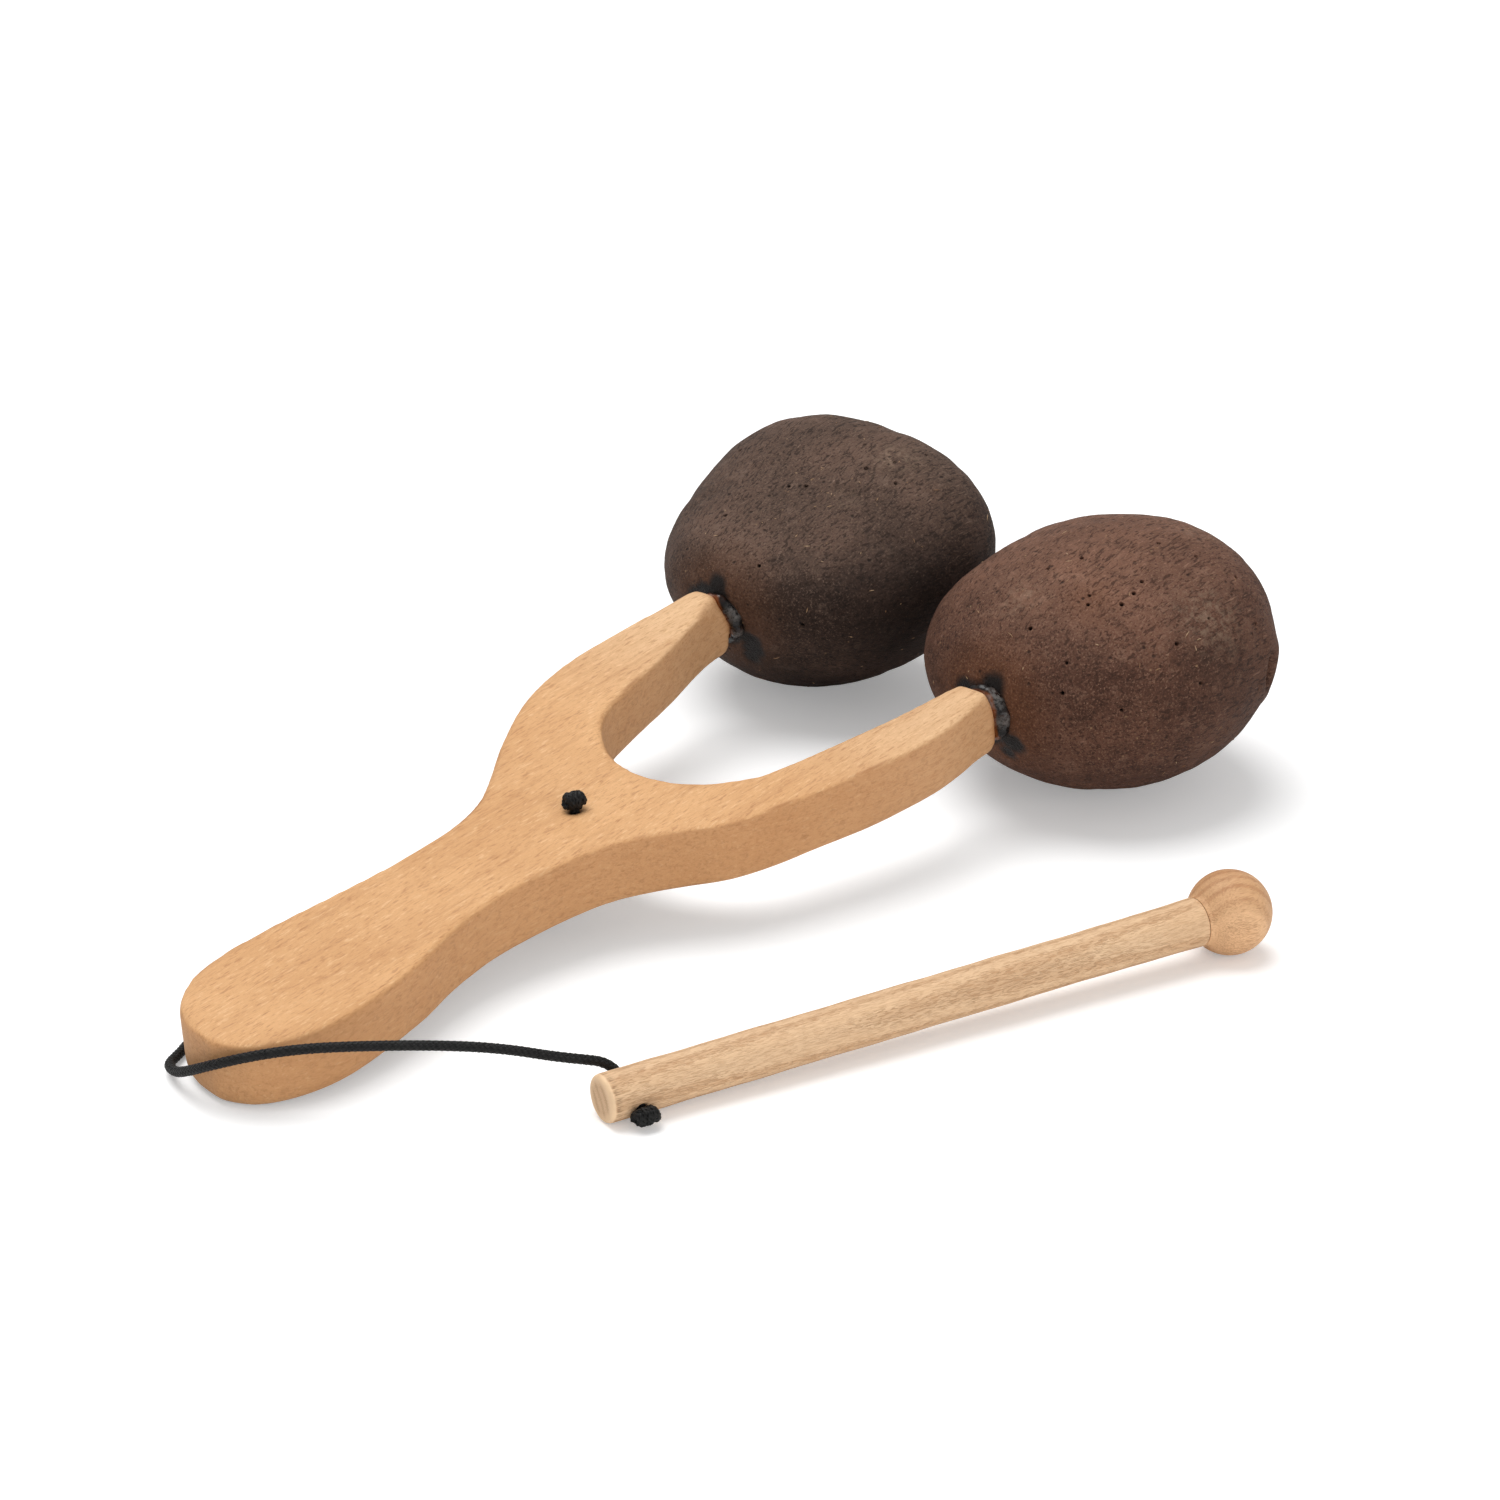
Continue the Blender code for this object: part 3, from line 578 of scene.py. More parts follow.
def build_handle(material):
    """The forked plank with softened rims and the slight waviness of hand sanding."""
    skin = welded("fork_handle")
    place = axes(Vector(), ACROSS, PLANK_NORMAL)
    skin.transform(place.inverted())
    mesh = bpy.data.meshes.new("handle_wood_body")
    skin.to_mesh(mesh)
    piece = link("handle_body", mesh)
    changed(piece, "REMESH", mode="VOXEL", voxel_size=HANDLE_VOXEL)
    tree = BVHTree.FromBMesh(skin)
    points = coordinates(piece.data)
    set_coordinates(piece.data, np.array([tree.find_nearest(Vector(point))[0] for point in points]))
    changed(piece, "SMOOTH", iterations=HANDLE_SOFTENING)
    mesh = piece.data
    points, outward = coordinates(mesh), normals(mesh)
    wave = fractal(points, 30 * MM, 2) * 0.16 * MM + fractal(points, 5 * MM, 2, 4.0) * 0.035 * MM
    set_coordinates(mesh, points + outward * wave[:, None])
    smooth(mesh)
    settle(piece, place)
    near = np.full(len(points), 1.0)
    for index, point in enumerate(points):
        if point[1] > STAIN_FROM:
            world = place @ Vector(point)
            near[index] = min(TREES[side].find_nearest(world)[3] for side in ("left", "right"))
    wobble = fractal(points, 3.5 * MM, 2, 9.0) * 0.9 * MM
    set_values(mesh, "stain", 1.0 - step(near + wobble, 0.4 * MM, STAIN_REACH))
    dress(piece, material, "handle", "fork_handle")


# ---- shells

def sphere_terms(directions):
    """Polynomials that span every smooth function of direction up to SMOOTH_DEGREE."""
    x, y, z = directions.T
    return np.stack([x ** a * y ** b * z ** c
                     for a in (0, 1)
                     for b in range(SMOOTH_DEGREE + 1 - a)
                     for c in range(SMOOTH_DEGREE + 1 - a - b)], axis=1)


def even_directions(count):
    index = np.arange(count) + 0.5
    height = 1.0 - 2.0 * index / count
    turn = index * math.pi * (1.0 + math.sqrt(5.0))
    flat = np.sqrt(1.0 - height ** 2)
    return np.stack([flat * np.cos(turn), flat * np.sin(turn), height], axis=1)


def degrees_off(directions, axis):
    return np.degrees(np.arccos(np.clip(directions @ np.array(axis), -1, 1)))


class ShellShape:
    """A shell's smooth outer radius about its centre, and the direction of its mouth."""

    def __init__(self, side):
        node = f"{side}_shell"
        low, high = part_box(node)
        self.centre = (low + high) / 2
        skin = welded(node)
        tree = BVHTree.FromBMesh(skin)
        directions = even_directions(SHELL_RAYS)
        reach = np.zeros(len(directions))
        open_sum = Vector()
        for index, direction in enumerate(directions):
            ray = Vector(direction)
            if tree.ray_cast(self.centre, ray)[0] is None:
                if ray.y > -0.2:
                    open_sum += ray
                continue
            reach[index] = OUTSIDE - tree.ray_cast(self.centre + ray * OUTSIDE, -ray)[3]
        mouth = open_sum.normalized()
        solid = (reach > 0.0) & (degrees_off(directions, mouth) > MOUTH_CONE)
        self.mouth = (mouth + MOUTH_TURN[side]).normalized()
        terms = sphere_terms(directions[solid])
        self.weights = np.linalg.lstsq(terms, reach[solid], rcond=None)[0]

    def radius(self, directions):
        return sphere_terms(directions) @ self.weights


def bearing(azimuth, elevation):
    azimuth, elevation = math.radians(azimuth), math.radians(elevation)
    flat = math.cos(elevation)
    return Vector((flat * math.cos(azimuth), flat * math.sin(azimuth), math.sin(elevation)))


def shell_rings(shape, lip_rise):
    """Rings round the mouth: over the outer skin, round the rim and back along the cavity."""
    mouth = np.array(shape.mouth)
    side = np.cross([0, 0, 1], mouth)
    side /= np.linalg.norm(side)
    upward = np.cross(mouth, side)
    turn = np.arange(SHELL_SEGMENTS) * math.tau / SHELL_SEGMENTS
    round_mouth = np.cos(turn)[:, None] * side + np.sin(turn)[:, None] * upward
    half_wall = SHELL_WALL / 2
    middle = shape.radius(mouth[None])[0]
    half_width = MOUTH_HALF_WIDTH + half_wall
    half_height = MOUTH_HALF_HEIGHT + half_wall
    opening = 1.0 / np.sqrt((np.cos(turn) / half_width) ** 2 + (np.sin(turn) / half_height) ** 2)
    edge = np.arcsin(opening / middle)

    def ring(polar, inset, rise=0.0):
        directions = np.cos(polar)[:, None] * mouth + np.sin(polar)[:, None] * round_mouth
        reach = shape.radius(directions) - inset + rise
        return np.array(shape.centre) + directions * reach[:, None]

    last = math.pi - 0.012
    rows = []
    for share in np.linspace(1.0, 0.0, SHELL_RINGS):
        polar = edge + (last - edge) * share ** 1.12
        off_edge = (polar - edge) * middle
        rise = lip_rise * np.exp(-(off_edge / LIP_SPREAD) ** 2)
        rows.append(ring(polar, 0.0, rise))
    outer_edge = rows[-1]
    inner_edge = ring(edge, SHELL_WALL)
    inward = -round_mouth
    for turn_share in np.linspace(0.0, 1.0, LIP_RINGS + 2)[1:-1]:
        angle = math.pi * turn_share
        blend = (1.0 - math.cos(angle)) / 2
        rows.append(outer_edge * (1.0 - blend) + inner_edge * blend
                    + inward * half_wall * math.sin(angle))
    for share in np.linspace(0.0, 1.0, CAVITY_RINGS):
        rows.append(ring(edge + (last - edge) * share, SHELL_WALL))
    return np.array(rows)


def refine_pins(mesh, pins):
    """Finer faces round each pinhole."""
    skin = bmesh.new()
    skin.from_mesh(mesh)
    skin.verts.ensure_lookup_table()
    tree = kdtree.KDTree(len(skin.verts))
    for vertex in skin.verts:
        tree.insert(vertex.co, vertex.index)
    tree.balance()
    faces = set()
    for point, _, _ in pins:
        for _, index, _ in tree.find_range(point, PIN_REFINE):
            faces.update(skin.verts[index].link_faces)
    edges = {edge for face in faces for edge in face.edges}
    bmesh.ops.subdivide_edges(skin, edges=list(edges), cuts=3, use_grid_fill=True)
    skin.to_mesh(mesh)
    skin.free()


def press_pins(mesh, pins):
    """Pushes each pinhole in and returns how far inside a hole every point lies, 0 to 1."""
    points = coordinates(mesh)
    pit = np.zeros(len(points))
    for point, inward, radius in pins:
        gap = np.linalg.norm(points - np.array(point), axis=1)
        inside = 1.0 - step(gap, 0.55 * radius, 1.15 * radius)
        near = inside > 0.0
        points[near] += np.outer(inside[near], np.array(inward)) * PIN_DEPTH * radius
        pit = np.maximum(pit, inside)
    set_coordinates(mesh, points)
    return pit


def build_shell(side, look, material):
    shape = SHAPES[side]
    centre = shape.centre
    skin = Skin()
    skin.loft(shell_rings(shape, look["lip_rise"]))
    mesh = skin.mesh(f"{side}_shell_body")
    piece = link(f"{side}_shell_skin", mesh)
    mesh.flip_normals()
    points, outward = coordinates(mesh), normals(mesh)
    seed = look["seed"]
    bulk = fractal(points, 24 * MM, 2, seed)
    ridge = np.abs(fractal(points, 15 * MM, 2, seed + 3.0))
    rough = fractal(points, 4.2 * MM, 3, seed + 6.0)
    outer = np.arange(len(points)) < SHELL_RINGS * SHELL_SEGMENTS
    lift = (bulk * 0.35 - ridge * 0.45 + 0.10 + rough * 0.10) * MM
    set_coordinates(mesh, points + outward * (lift * outer)[:, None])
    rng = random.Random(seed)
    bearings = [bearing(*pair) for pair in look["pins"]]
    while len(bearings) < look["pin_count"]:
        loose = Vector((rng.gauss(0, 1), rng.gauss(0, 1), rng.gauss(0, 1))).normalized()
        if loose.dot(VIEW_BACK) < -0.15 and loose.dot(shape.mouth) < 0.9:
            bearings.append(loose)
    tree = BVHTree.FromPolygons(coordinates(mesh).tolist(),
                                [tuple(face.vertices) for face in mesh.polygons])
    pins = []
    for direction in bearings:
        hit = tree.ray_cast(centre + direction * 0.1, -direction)
        pins.append((hit[0], -direction, rng.uniform(*PIN_RADII)))
    refine_pins(mesh, pins)
    pit = press_pins(mesh, pins)
    set_values(mesh, "pit", step(pit, 0.15, 0.7))
    points = coordinates(mesh)
    offsets = points - np.array(centre)
    directions = offsets / np.linalg.norm(offsets, axis=1)[:, None]
    tine = np.array(tine_centre(side))
    to_tine = np.linalg.norm(points - tine, axis=1)
    set_values(mesh, "warm", np.maximum(1.0 - step(to_tine, 9 * MM, 24 * MM),
                                        spots(directions, look["warm_spots"])))
    set_values(mesh, "scuff", spots(directions, look["scuffs"]))
    # Patches of painted shade, with darker material, low down and on the shaded side.
    set_values(mesh, "painted_shade_and_dark", spots(directions, look["painted_shade_and_dark"]))
    tar = tar_stain(side, points, look)
    set_values(mesh, "tar", tar)
    set_coordinates(mesh, points + normals(mesh) * (tar * 0.35 * MM)[:, None])
    dress(piece, material, "handle", f"{side}_shell")
    return tree


def spots(directions, places):
    """Soft patches about the given azimuth, elevation and half width, all in degrees."""
    total = np.zeros(len(directions))
    for azimuth, elevation, width, strength in places:
        angle = degrees_off(directions, bearing(azimuth, elevation))
        total = np.maximum(total, strength * np.exp(-(angle / width) ** 2))
    return total


def tar_stain(side, points, look):
    """How far each point is covered by resin smeared round the tine, 0 to 1."""
    ragged = fractal(points, 5.5 * MM, 3, look["seed"]) * 0.7 * MM
    offsets = points - np.array(tine_centre(side))
    near = np.linalg.norm(offsets, axis=1) < TAR_REACH
    total = np.zeros(len(points))
    wood = [WOOD_TREE.find_nearest(Vector(point))[3] for point in points[near]]
    total[near] = 1.0 - step(np.array(wood) + ragged[near], *TAR_EDGE)
    across, up = offsets @ np.array(ACROSS), offsets @ np.array(PLANK_NORMAL)
    for turn, reach, size in look["smears"]:
        turn = math.radians(turn)
        gap = np.hypot(across - reach * MM * math.cos(turn), up - reach * MM * math.sin(turn))
        patch = 1.0 - step(gap + ragged, 0.6 * size * MM, 1.3 * size * MM)
        total[near] = np.maximum(total[near], patch[near])
    return total


def tine_centre(side):
    """Middle of the glued joint between a tine and its shell."""
    low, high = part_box(f"{side}_glue_collar")
    return (low + high) / 2


def build_flecks(side, look, tree, material):
    """Loose fibres lying on a shell."""
    rng = random.Random(look["seed"] + 50)
    centre = SHAPES[side].centre
    skin = Skin()
    for _ in range(look["flecks"]):
        direction = Vector((rng.gauss(0, 1), rng.gauss(0, 1), rng.gauss(0.3, 1))).normalized()
        length = rng.choice((0.5, 0.7, 1.0, 1.4, 2.2)) * MM
        heading = Vector((rng.gauss(0, 1), rng.gauss(0, 1), rng.gauss(0, 0.5)))
        heading = (heading - direction * heading.dot(direction)).normalized()
        bend = rng.uniform(-0.3, 0.3)
        sideways = direction.cross(heading)
        if direction.dot(SHAPES[side].mouth) > 0.93:
            continue
        rings = []
        for share in np.linspace(-0.5, 0.5, 5):
            course = heading * share * length + sideways * bend * length * (share ** 2 - 0.1)
            aim = (direction * 0.04 + course).normalized()
            hit = tree.ray_cast(centre + aim * 0.1, -aim)
            middle = hit[0] + aim * 0.03 * MM
            width = 0.10 * MM * (1.15 - abs(2 * share)) + 0.02 * MM
            across = heading.cross(aim).normalized()
            rings.append([middle + across * width, middle + aim * width * 0.8,
                          middle - across * width, middle - aim * width * 0.8])
        skin.loft(np.array(rings))
    piece = link(f"{side}_shell_fibres", skin.mesh(f"{side}_fibres"))
    dress(piece, material, "handle")


# ---- glue

def glue_line(side, tree, turn):
    """Where the shell meets the rim of the tine's end, going out from the tine's middle at turn."""
    aim = ACROSS * math.cos(turn) + PLANK_NORMAL * math.sin(turn)
    centre = tine_centre(side) - GRAIN * 40 * MM
    for reach in np.arange(2.0, 18.0, 0.2):
        point, normal, _, _ = tree.ray_cast(centre + aim * reach * MM, GRAIN)
        if point is None:
            return None
        nearest, outward, _, gap = WOOD_TREE.find_nearest(point)
        if (point - nearest).dot(outward) > 0.0 and gap > GLUE_GAP:
            return point, normal, aim
    return None


def build_glue(side, look, tree, material):
    """A fillet of resin round the end of a tine."""
    blobs = []
    for index in range(GLUE_STEPS):
        turn = math.tau * index / GLUE_STEPS
        found = glue_line(side, tree, turn)
        if found is None:
            continue
        point, normal, aim = found
        degrees = math.degrees(turn)
        heavy = sum(size * math.exp(-((degrees - at + 180.0) % 360.0 - 180.0) ** 2
                                    / (2.0 * spread ** 2)) for at, spread, size in look["heavy"])
        swell = 1.0 + 0.16 * noise.noise(Vector((degrees / 21.0, look["seed"], 0.0)))
        radius = (GLUE_LEAST + heavy * MM) * swell
        blobs.append((point + aim * radius * 0.45 - normal * radius * 0.10, radius))
    skin = bmesh.new()
    for place, radius in blobs:
        bmesh.ops.create_icosphere(skin, subdivisions=2, radius=radius,
                                   matrix=Matrix.Translation(place))
    mesh = bpy.data.meshes.new(f"{side}_glue")
    skin.to_mesh(mesh)
    skin.free()
    piece = link(f"{side}_glue_fillet", mesh)
    changed(piece, "REMESH", mode="VOXEL", voxel_size=GLUE_VOXEL)
    changed(piece, "SMOOTH", iterations=GLUE_SOFTENING)
    mesh = piece.data
    points, outward = coordinates(mesh), normals(mesh)
    lumps = fractal(points, 2.4 * MM, 2, look["seed"])
    set_coordinates(mesh, points + outward * (lumps * 0.22 * MM)[:, None])
    smooth(mesh)
    off_wood = np.array([WOOD_TREE.find_nearest(Vector(p))[3] for p in points])
    set_values(mesh, "thin", 1.0 - step(off_wood, 0.3 * MM, 1.1 * MM))
    offsets = points - np.array(tine_centre(side))
    turns = np.degrees(np.arctan2(offsets @ np.array(PLANK_NORMAL), offsets @ np.array(ACROSS)))
    patches = np.zeros(len(points))
    for at, spread in look["frost_and_sheen"]:
        gap = (turns - at + 180.0) % 360.0 - 180.0
        patches = np.maximum(patches, np.exp(-(gap / spread) ** 2))
    # Painted sheen: the grey frost is kept to faces turned toward the camera.
    painted_sheen_side = step(outward @ np.array(VIEW_BACK), 0.0, 0.6)
    set_values(mesh, "frost_and_sheen", patches * painted_sheen_side)
    dress(piece, material, "handle", f"{side}_glue_collar")


# ---- cord

def centre_line(node, start):
    """Points along the middle of a tube-shaped node, from the end nearest start."""
    skin = welded(node)
    inner = [vertex.co - vertex.normal * CORD_RADIUS for vertex in skin.verts]
    line = []
    while inner:
        nearest = min(inner, key=lambda point: (point - start).length)
        cluster = [point for point in inner if (point - nearest).length < CORD_RADIUS]
        inner = [point for point in inner if (point - nearest).length >= CORD_RADIUS]
        start = middle_of(cluster)
        if not line or (start - line[-1]).length > CORD_RADIUS:
            line.append(start)
    return line


class Course:
    """An evenly sampled smooth path with a frame that doesn't twist about it."""

    def __init__(self, corners, softness, spacing=CORD_STEP):
        corners = np.array([tuple(corner) for corner in corners])
        spans = np.linalg.norm(np.diff(corners, axis=0), axis=1)
        marks = np.concatenate([[0.0], np.cumsum(spans)])
        count = max(int(marks[-1] / spacing), 4)
        even = np.linspace(0.0, marks[-1], count)
        path = np.stack([np.interp(even, marks, corners[:, axis]) for axis in range(3)], axis=1)
        reach = max(int(3 * softness / spacing), 1)
        weights = np.exp(-0.5 * (np.arange(-reach, reach + 1) * spacing / softness) ** 2)
        weights /= weights.sum()
        start = 2 * path[0] - path[1:reach + 1][::-1]
        end = 2 * path[-1] - path[-reach - 1:-1][::-1]
        padded = np.concatenate([start, path, end])
        self.path = np.stack([np.convolve(padded[:, axis], weights, "valid")
                              for axis in range(3)], axis=1)
        steps = np.linalg.norm(np.diff(self.path, axis=0), axis=1)
        self.arc = np.concatenate([[0.0], np.cumsum(steps)])
        self.along = unit(np.gradient(self.path, axis=0))
        across = np.cross(self.along[0], (0.31, 0.17, 0.94))
        sides = []
        for tangent in self.along:
            across = across - tangent * across.dot(tangent)
            across = across / np.linalg.norm(across)
            sides.append(across)
        self.side = np.array(sides)
        self.other = np.cross(self.along, self.side)

    def nearest(self, point):
        return int(np.argmin(np.linalg.norm(self.path - np.array(point), axis=1)))

    def index_after(self, index, distance):
        return int(np.clip(np.searchsorted(self.arc, self.arc[index] + distance),
                           0, len(self.arc) - 1))


def unit(vectors):
    return vectors / np.linalg.norm(vectors, axis=1)[:, None]


def tube(middle, first, wide, second, deep):
    """Six-sided rings about a path, wide along first and deep along second."""
    section = np.arange(6) * math.tau / 6
    return (middle[:, None] + first[:, None] * (np.cos(section) * wide)[None, :, None]
            + second[:, None] * (np.sin(section) * deep)[None, :, None])


def add_braid(skin, course, first=0, last=None, scale=1.0):
    """Two opposed sets of strands woven over and under each other round a core."""
    part = slice(first, None if last is None else last + 1)
    path, arc = course.path[part], course.arc[part]
    side, other = course.side[part], course.other[part]
    rings = tube(path, side, CORE_RADIUS * scale, other, CORE_RADIUS * scale)
    marks = np.zeros(rings.shape)
    marks[:, :, 1] = arc[:, None]
    skin.loft(rings, marks)
    for way in (1, -1):
        for strand in range(STRANDS_EACH_WAY):
            turn = way * math.tau * arc / BRAID_PITCH + math.tau * strand / STRANDS_EACH_WAY
            outward = side * np.cos(turn)[:, None] + other * np.sin(turn)[:, None]
            reach = STRAND_REACH + way * STRAND_RISE * np.cos(STRANDS_EACH_WAY * turn)
            middle = path + outward * (reach * scale)[:, None]
            flat = unit(np.cross(np.gradient(middle, axis=0), outward))
            rings = tube(middle, flat, STRAND_HALF_WIDTH * scale,
                         outward, STRAND_HALF_DEPTH * scale)
            marks = marks.copy()
            marks[:, :, 0] = np.arange(6) / 6
            marks[:, :, 2] = strand + 20 * way
            skin.loft(rings, marks)


def braid_piece(name, course, first, last, material):
    skin = Skin()
    add_braid(skin, course, first, last)
    piece = link(name, skin.mesh(name))
    piece.data.materials.append(material)
    return piece


LINKS = [("cord_under", "handle", "tether_swing"), ("cord_side", "cord_side_link", "tether_fold"),
         ("cord_corner", "cord_corner_link", "tether_lift"),
         ("cord_front", "cord_front_link", "tether_bend"), ("cord_end", "cord_end_link", None)]


def build_cord(material):
    """One braid from the handle's hole to the beater's, cut where its bodies meet."""
    top = knot_axis_points("handle_knot", PLANK_NORMAL)
    corners = [top[0], top[1]]
    for node, _, _ in LINKS:
        corners += centre_line(node, corners[-1])
    pivot = Vector(JOINTS["beater_pivot"]["pos_m"])
    axis = Vector(JOINTS["beater_pivot"]["axis"])
    if (corners[-1] - pivot).dot(axis) < 0.0:
        axis = -axis
    corners += [pivot + axis * 4.6 * MM, pivot, pivot - axis * 5.5 * MM]
    course = Course(corners, 1.5 * MM)
    first = course.nearest(top[1])
    start = course.index_after(first, 2.0 * MM)
    bend_end = course.index_after(start, 13 * MM)
    bend = braid_piece("braid_hole_bend", course, start, bend_end, material)
    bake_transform(bend)
    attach(braid_piece("braid_in_hole", course, course.nearest(top[0]), start, material), "knot")
    here = bend_end
    for number, (node, body, joint) in enumerate(LINKS):
        if joint:
            hinge = course.nearest(JOINTS[joint]["pos_m"])
            stop = course.index_after(hinge, -BEND_REACH)
        else:
            stop = course.nearest(pivot + axis * 3.0 * MM)
        run = braid_piece(f"braid_run_{node.removeprefix('cord_')}", course, here, stop, material)
        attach(run, body)
        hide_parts(node)
        if joint:
            after = course.index_after(hinge, BEND_REACH)
            turn = braid_piece(f"braid_{joint}", course, stop, after, material)
            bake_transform(turn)
            here = after
        else:
            here = stop
    tail = braid_piece("braid_in_beater", course, here, len(course.path) - 1, material)
    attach(tail, "beater")


def knot_axis_points(node, axis):
    """The knotted cord's highest and lowest points along its hole's axis."""
    skin = welded(node)
    heights = [vertex.co.dot(axis) for vertex in skin.verts]
    low, high = min(heights), max(heights)
    foot = [vertex.co for vertex in skin.verts if vertex.co.dot(axis) < low + 0.5 * MM]
    base = middle_of(foot)
    return base + axis * (high - low - 3.0 * MM), base


def build_knot(name, node, body, axis, along, half_length, coil, tail_turn, material):
    """A stopper knot pulled tight: a short coil of the cord, one turn across it and a cut end."""
    base = knot_axis_points(node, axis)[1]
    skin = welded(node)
    spread = [vertex.co for vertex in skin.verts
              if ((vertex.co - base) - axis * (vertex.co - base).dot(axis)).length > 2.0 * MM]
    middle = middle_of(spread) - axis * 0.5 * MM
    share = np.linspace(-1.0, 1.0, 120)
    angle = KNOT_TURNS * math.pi * share + 0.6
    wide = coil * np.sqrt(1.0 - 0.9 * share ** 4)
    turns = np.stack([half_length * share, wide * np.cos(angle), wide * np.sin(angle)], axis=1)
    braid = Skin()
    add_braid(braid, Course(turns, 0.35 * MM, KNOT_STEP))
    over = np.array([(-0.8, -0.8, 0.1), (-0.5, -0.5, 1.0), (0.05, 0.0, 1.3), (0.55, 0.5, 1.0),
                     (0.8, 0.8, 0.0)]) * (half_length, coil, coil)
    add_braid(braid, Course(over, 0.5 * MM, KNOT_STEP), scale=0.85)
    aim = np.array((math.cos(tail_turn), math.sin(tail_turn), 0.0))
    lift = np.array((0.0, 0.0, 1.0))
    foot = 1.0 * coil * lift
    reach = 0.5 * half_length + 0.7 * coil
    end = [aim * 0.3 * reach - foot, aim * 0.7 * reach - foot, aim * reach - foot + lift * 0.3 * MM,
           aim * (reach + 0.9 * MM) - foot + lift * 1.0 * MM]
    add_braid(braid, Course(end, 0.4 * MM, KNOT_STEP), scale=0.45)
    piece = link(name, braid.mesh(name))
    settle(piece, axes(middle, along, axis))
    dress(piece, material, body, node)


# ---- beater

def beater_shape():
    """Stick frame (origin at the tail, Z to the ball), its radii, the neck and the ball."""
    low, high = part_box("beater_ball")
    radius = (high.z - low.z) / 2
    ball = Vector((high.x - radius, high.y - radius, low.z + radius))
    pivot = Vector(JOINTS["beater_pivot"]["pos_m"])
    along = (ball - pivot).normalized()
    skin = welded("beater_stick")
    offsets = np.array([tuple(vertex.co - pivot) for vertex in skin.verts])
    heights = offsets @ np.array(along)
    reach = np.linalg.norm(offsets - np.outer(heights, along), axis=1)
    tail = pivot + along * float(heights.min())
    length = (ball - tail).length
    stick = float(reach[heights < length / 2].max())
    neck = float(reach[reach > 0.9 * stick][heights[reach > 0.9 * stick].argmax()])
    return tail, along, length, stick, neck, radius, ball


def turned(profile, segments):
    """Rings of a profile of (radius, height) pairs about local Z."""
    turn = np.arange(segments) * math.tau / segments
    rings = [np.stack([radius * np.cos(turn), radius * np.sin(turn), np.full(segments, height)], 1)
             for radius, height in profile]
    return np.array(rings)


def build_stick(shape, material):
    tail, along, length, stick, neck, radius, _ = shape
    place = axes(tail, VIEW_BACK, along)
    flat = length - math.sqrt(radius ** 2 - neck ** 2) - SHOULDER
    face = stick - TAIL_ROUNDING
    profile = [(0.3 * face, 0.0), (0.7 * face, 0.0), (0.97 * face, 0.0)]
    for angle in np.radians(np.linspace(12.0, 90.0, 8)):
        profile.append((face + TAIL_ROUNDING * math.sin(angle),
                        TAIL_ROUNDING * (1.0 - math.cos(angle))))
    for height in np.linspace(1.3 * TAIL_ROUNDING, flat - 0.4 * MM, 230):
        flare = (neck - stick) * step(np.array(height), flat - NECK_FLARE, flat)
        hand = 0.05 * MM * math.sin(height * 190.0) + 0.03 * MM * math.sin(height * 470.0 + 1.0)
        profile.append((stick + float(flare) + hand, height))
    profile += [(neck - 0.12 * MM, flat - 0.15 * MM), (neck - 0.35 * MM, flat - 0.02 * MM)]
    skin = Skin()
    skin.loft(turned(profile, 96))
    mesh = skin.mesh("stick")
    mesh.flip_normals()
    points = coordinates(mesh)
    lumps = fractal(points, 16 * MM, 2, 2.0) * 0.05 * MM
    set_coordinates(mesh, points + points * (1.0, 1.0, 0.0) * (lumps / stick)[:, None])
    piece = link("beater_stick_turned", mesh)
    hole = Skin()
    hole.loft(turned([(HOLE_RADIUS, -HOLE_HALF_LENGTH), (HOLE_RADIUS, HOLE_HALF_LENGTH)], 32))
    cutter = link("hole_cutter", hole.mesh("hole"))
    pivot = JOINTS["beater_pivot"]
    cutter.data.transform(place.inverted()
                          @ axes(Vector(pivot["pos_m"]), along, Vector(pivot["axis"])))
    bpy.context.view_layer.update()
    changed(piece, "BOOLEAN", object=cutter, solver="EXACT")
    bpy.data.objects.remove(cutter)
    points = coordinates(piece.data)
    wide = np.linalg.norm(points[:, :2], axis=1)
    high = points[:, 2]
    # Painted highlight on the rounded edge of the tail.
    edge = 1.0 - step(high, 0.75 * TAIL_ROUNDING, 1.1 * TAIL_ROUNDING)
    set_values(piece.data, "painted_tail_highlight", edge * step(wide, 0.9 * face, face))
    set_values(piece.data, "torn", np.exp(-((high - 1.6 * TAIL_ROUNDING) / (0.35 * MM)) ** 2))
    settle(piece, place)
    dress(piece, material, "beater", "beater_stick")


def build_ball(shape, material):
    _, along, _, _, neck, radius, ball = shape
    flat = math.sqrt(radius ** 2 - neck ** 2)
    joint = 0.04 * MM - flat - SHOULDER
    rows = [(neck - 0.4 * MM, joint), (neck - 0.12 * MM, joint), (neck, joint + 0.12 * MM),
            (neck + 0.02 * MM, joint + 0.5 * SHOULDER), (neck + 0.14 * MM, joint + 0.85 * SHOULDER)]
    for angle in np.linspace(math.asin(-flat / radius), math.pi / 2 - 0.02, 90)[3:]:
        rows.append((radius * math.cos(angle), radius * math.sin(angle)))
    skin = Skin()
    skin.loft(turned(rows, 128))
    mesh = skin.mesh("ball")
    mesh.flip_normals()
    points, outward = coordinates(mesh), normals(mesh)
    set_coordinates(mesh, points + outward * (fractal(points, 11 * MM, 2) * 0.05 * MM)[:, None])
    piece = link("beater_ball_turned", mesh)
    settle(piece, axes(ball, BALL_FIGURE_AND_LIGHT, along))
    dress(piece, material, "beater", "beater_ball")


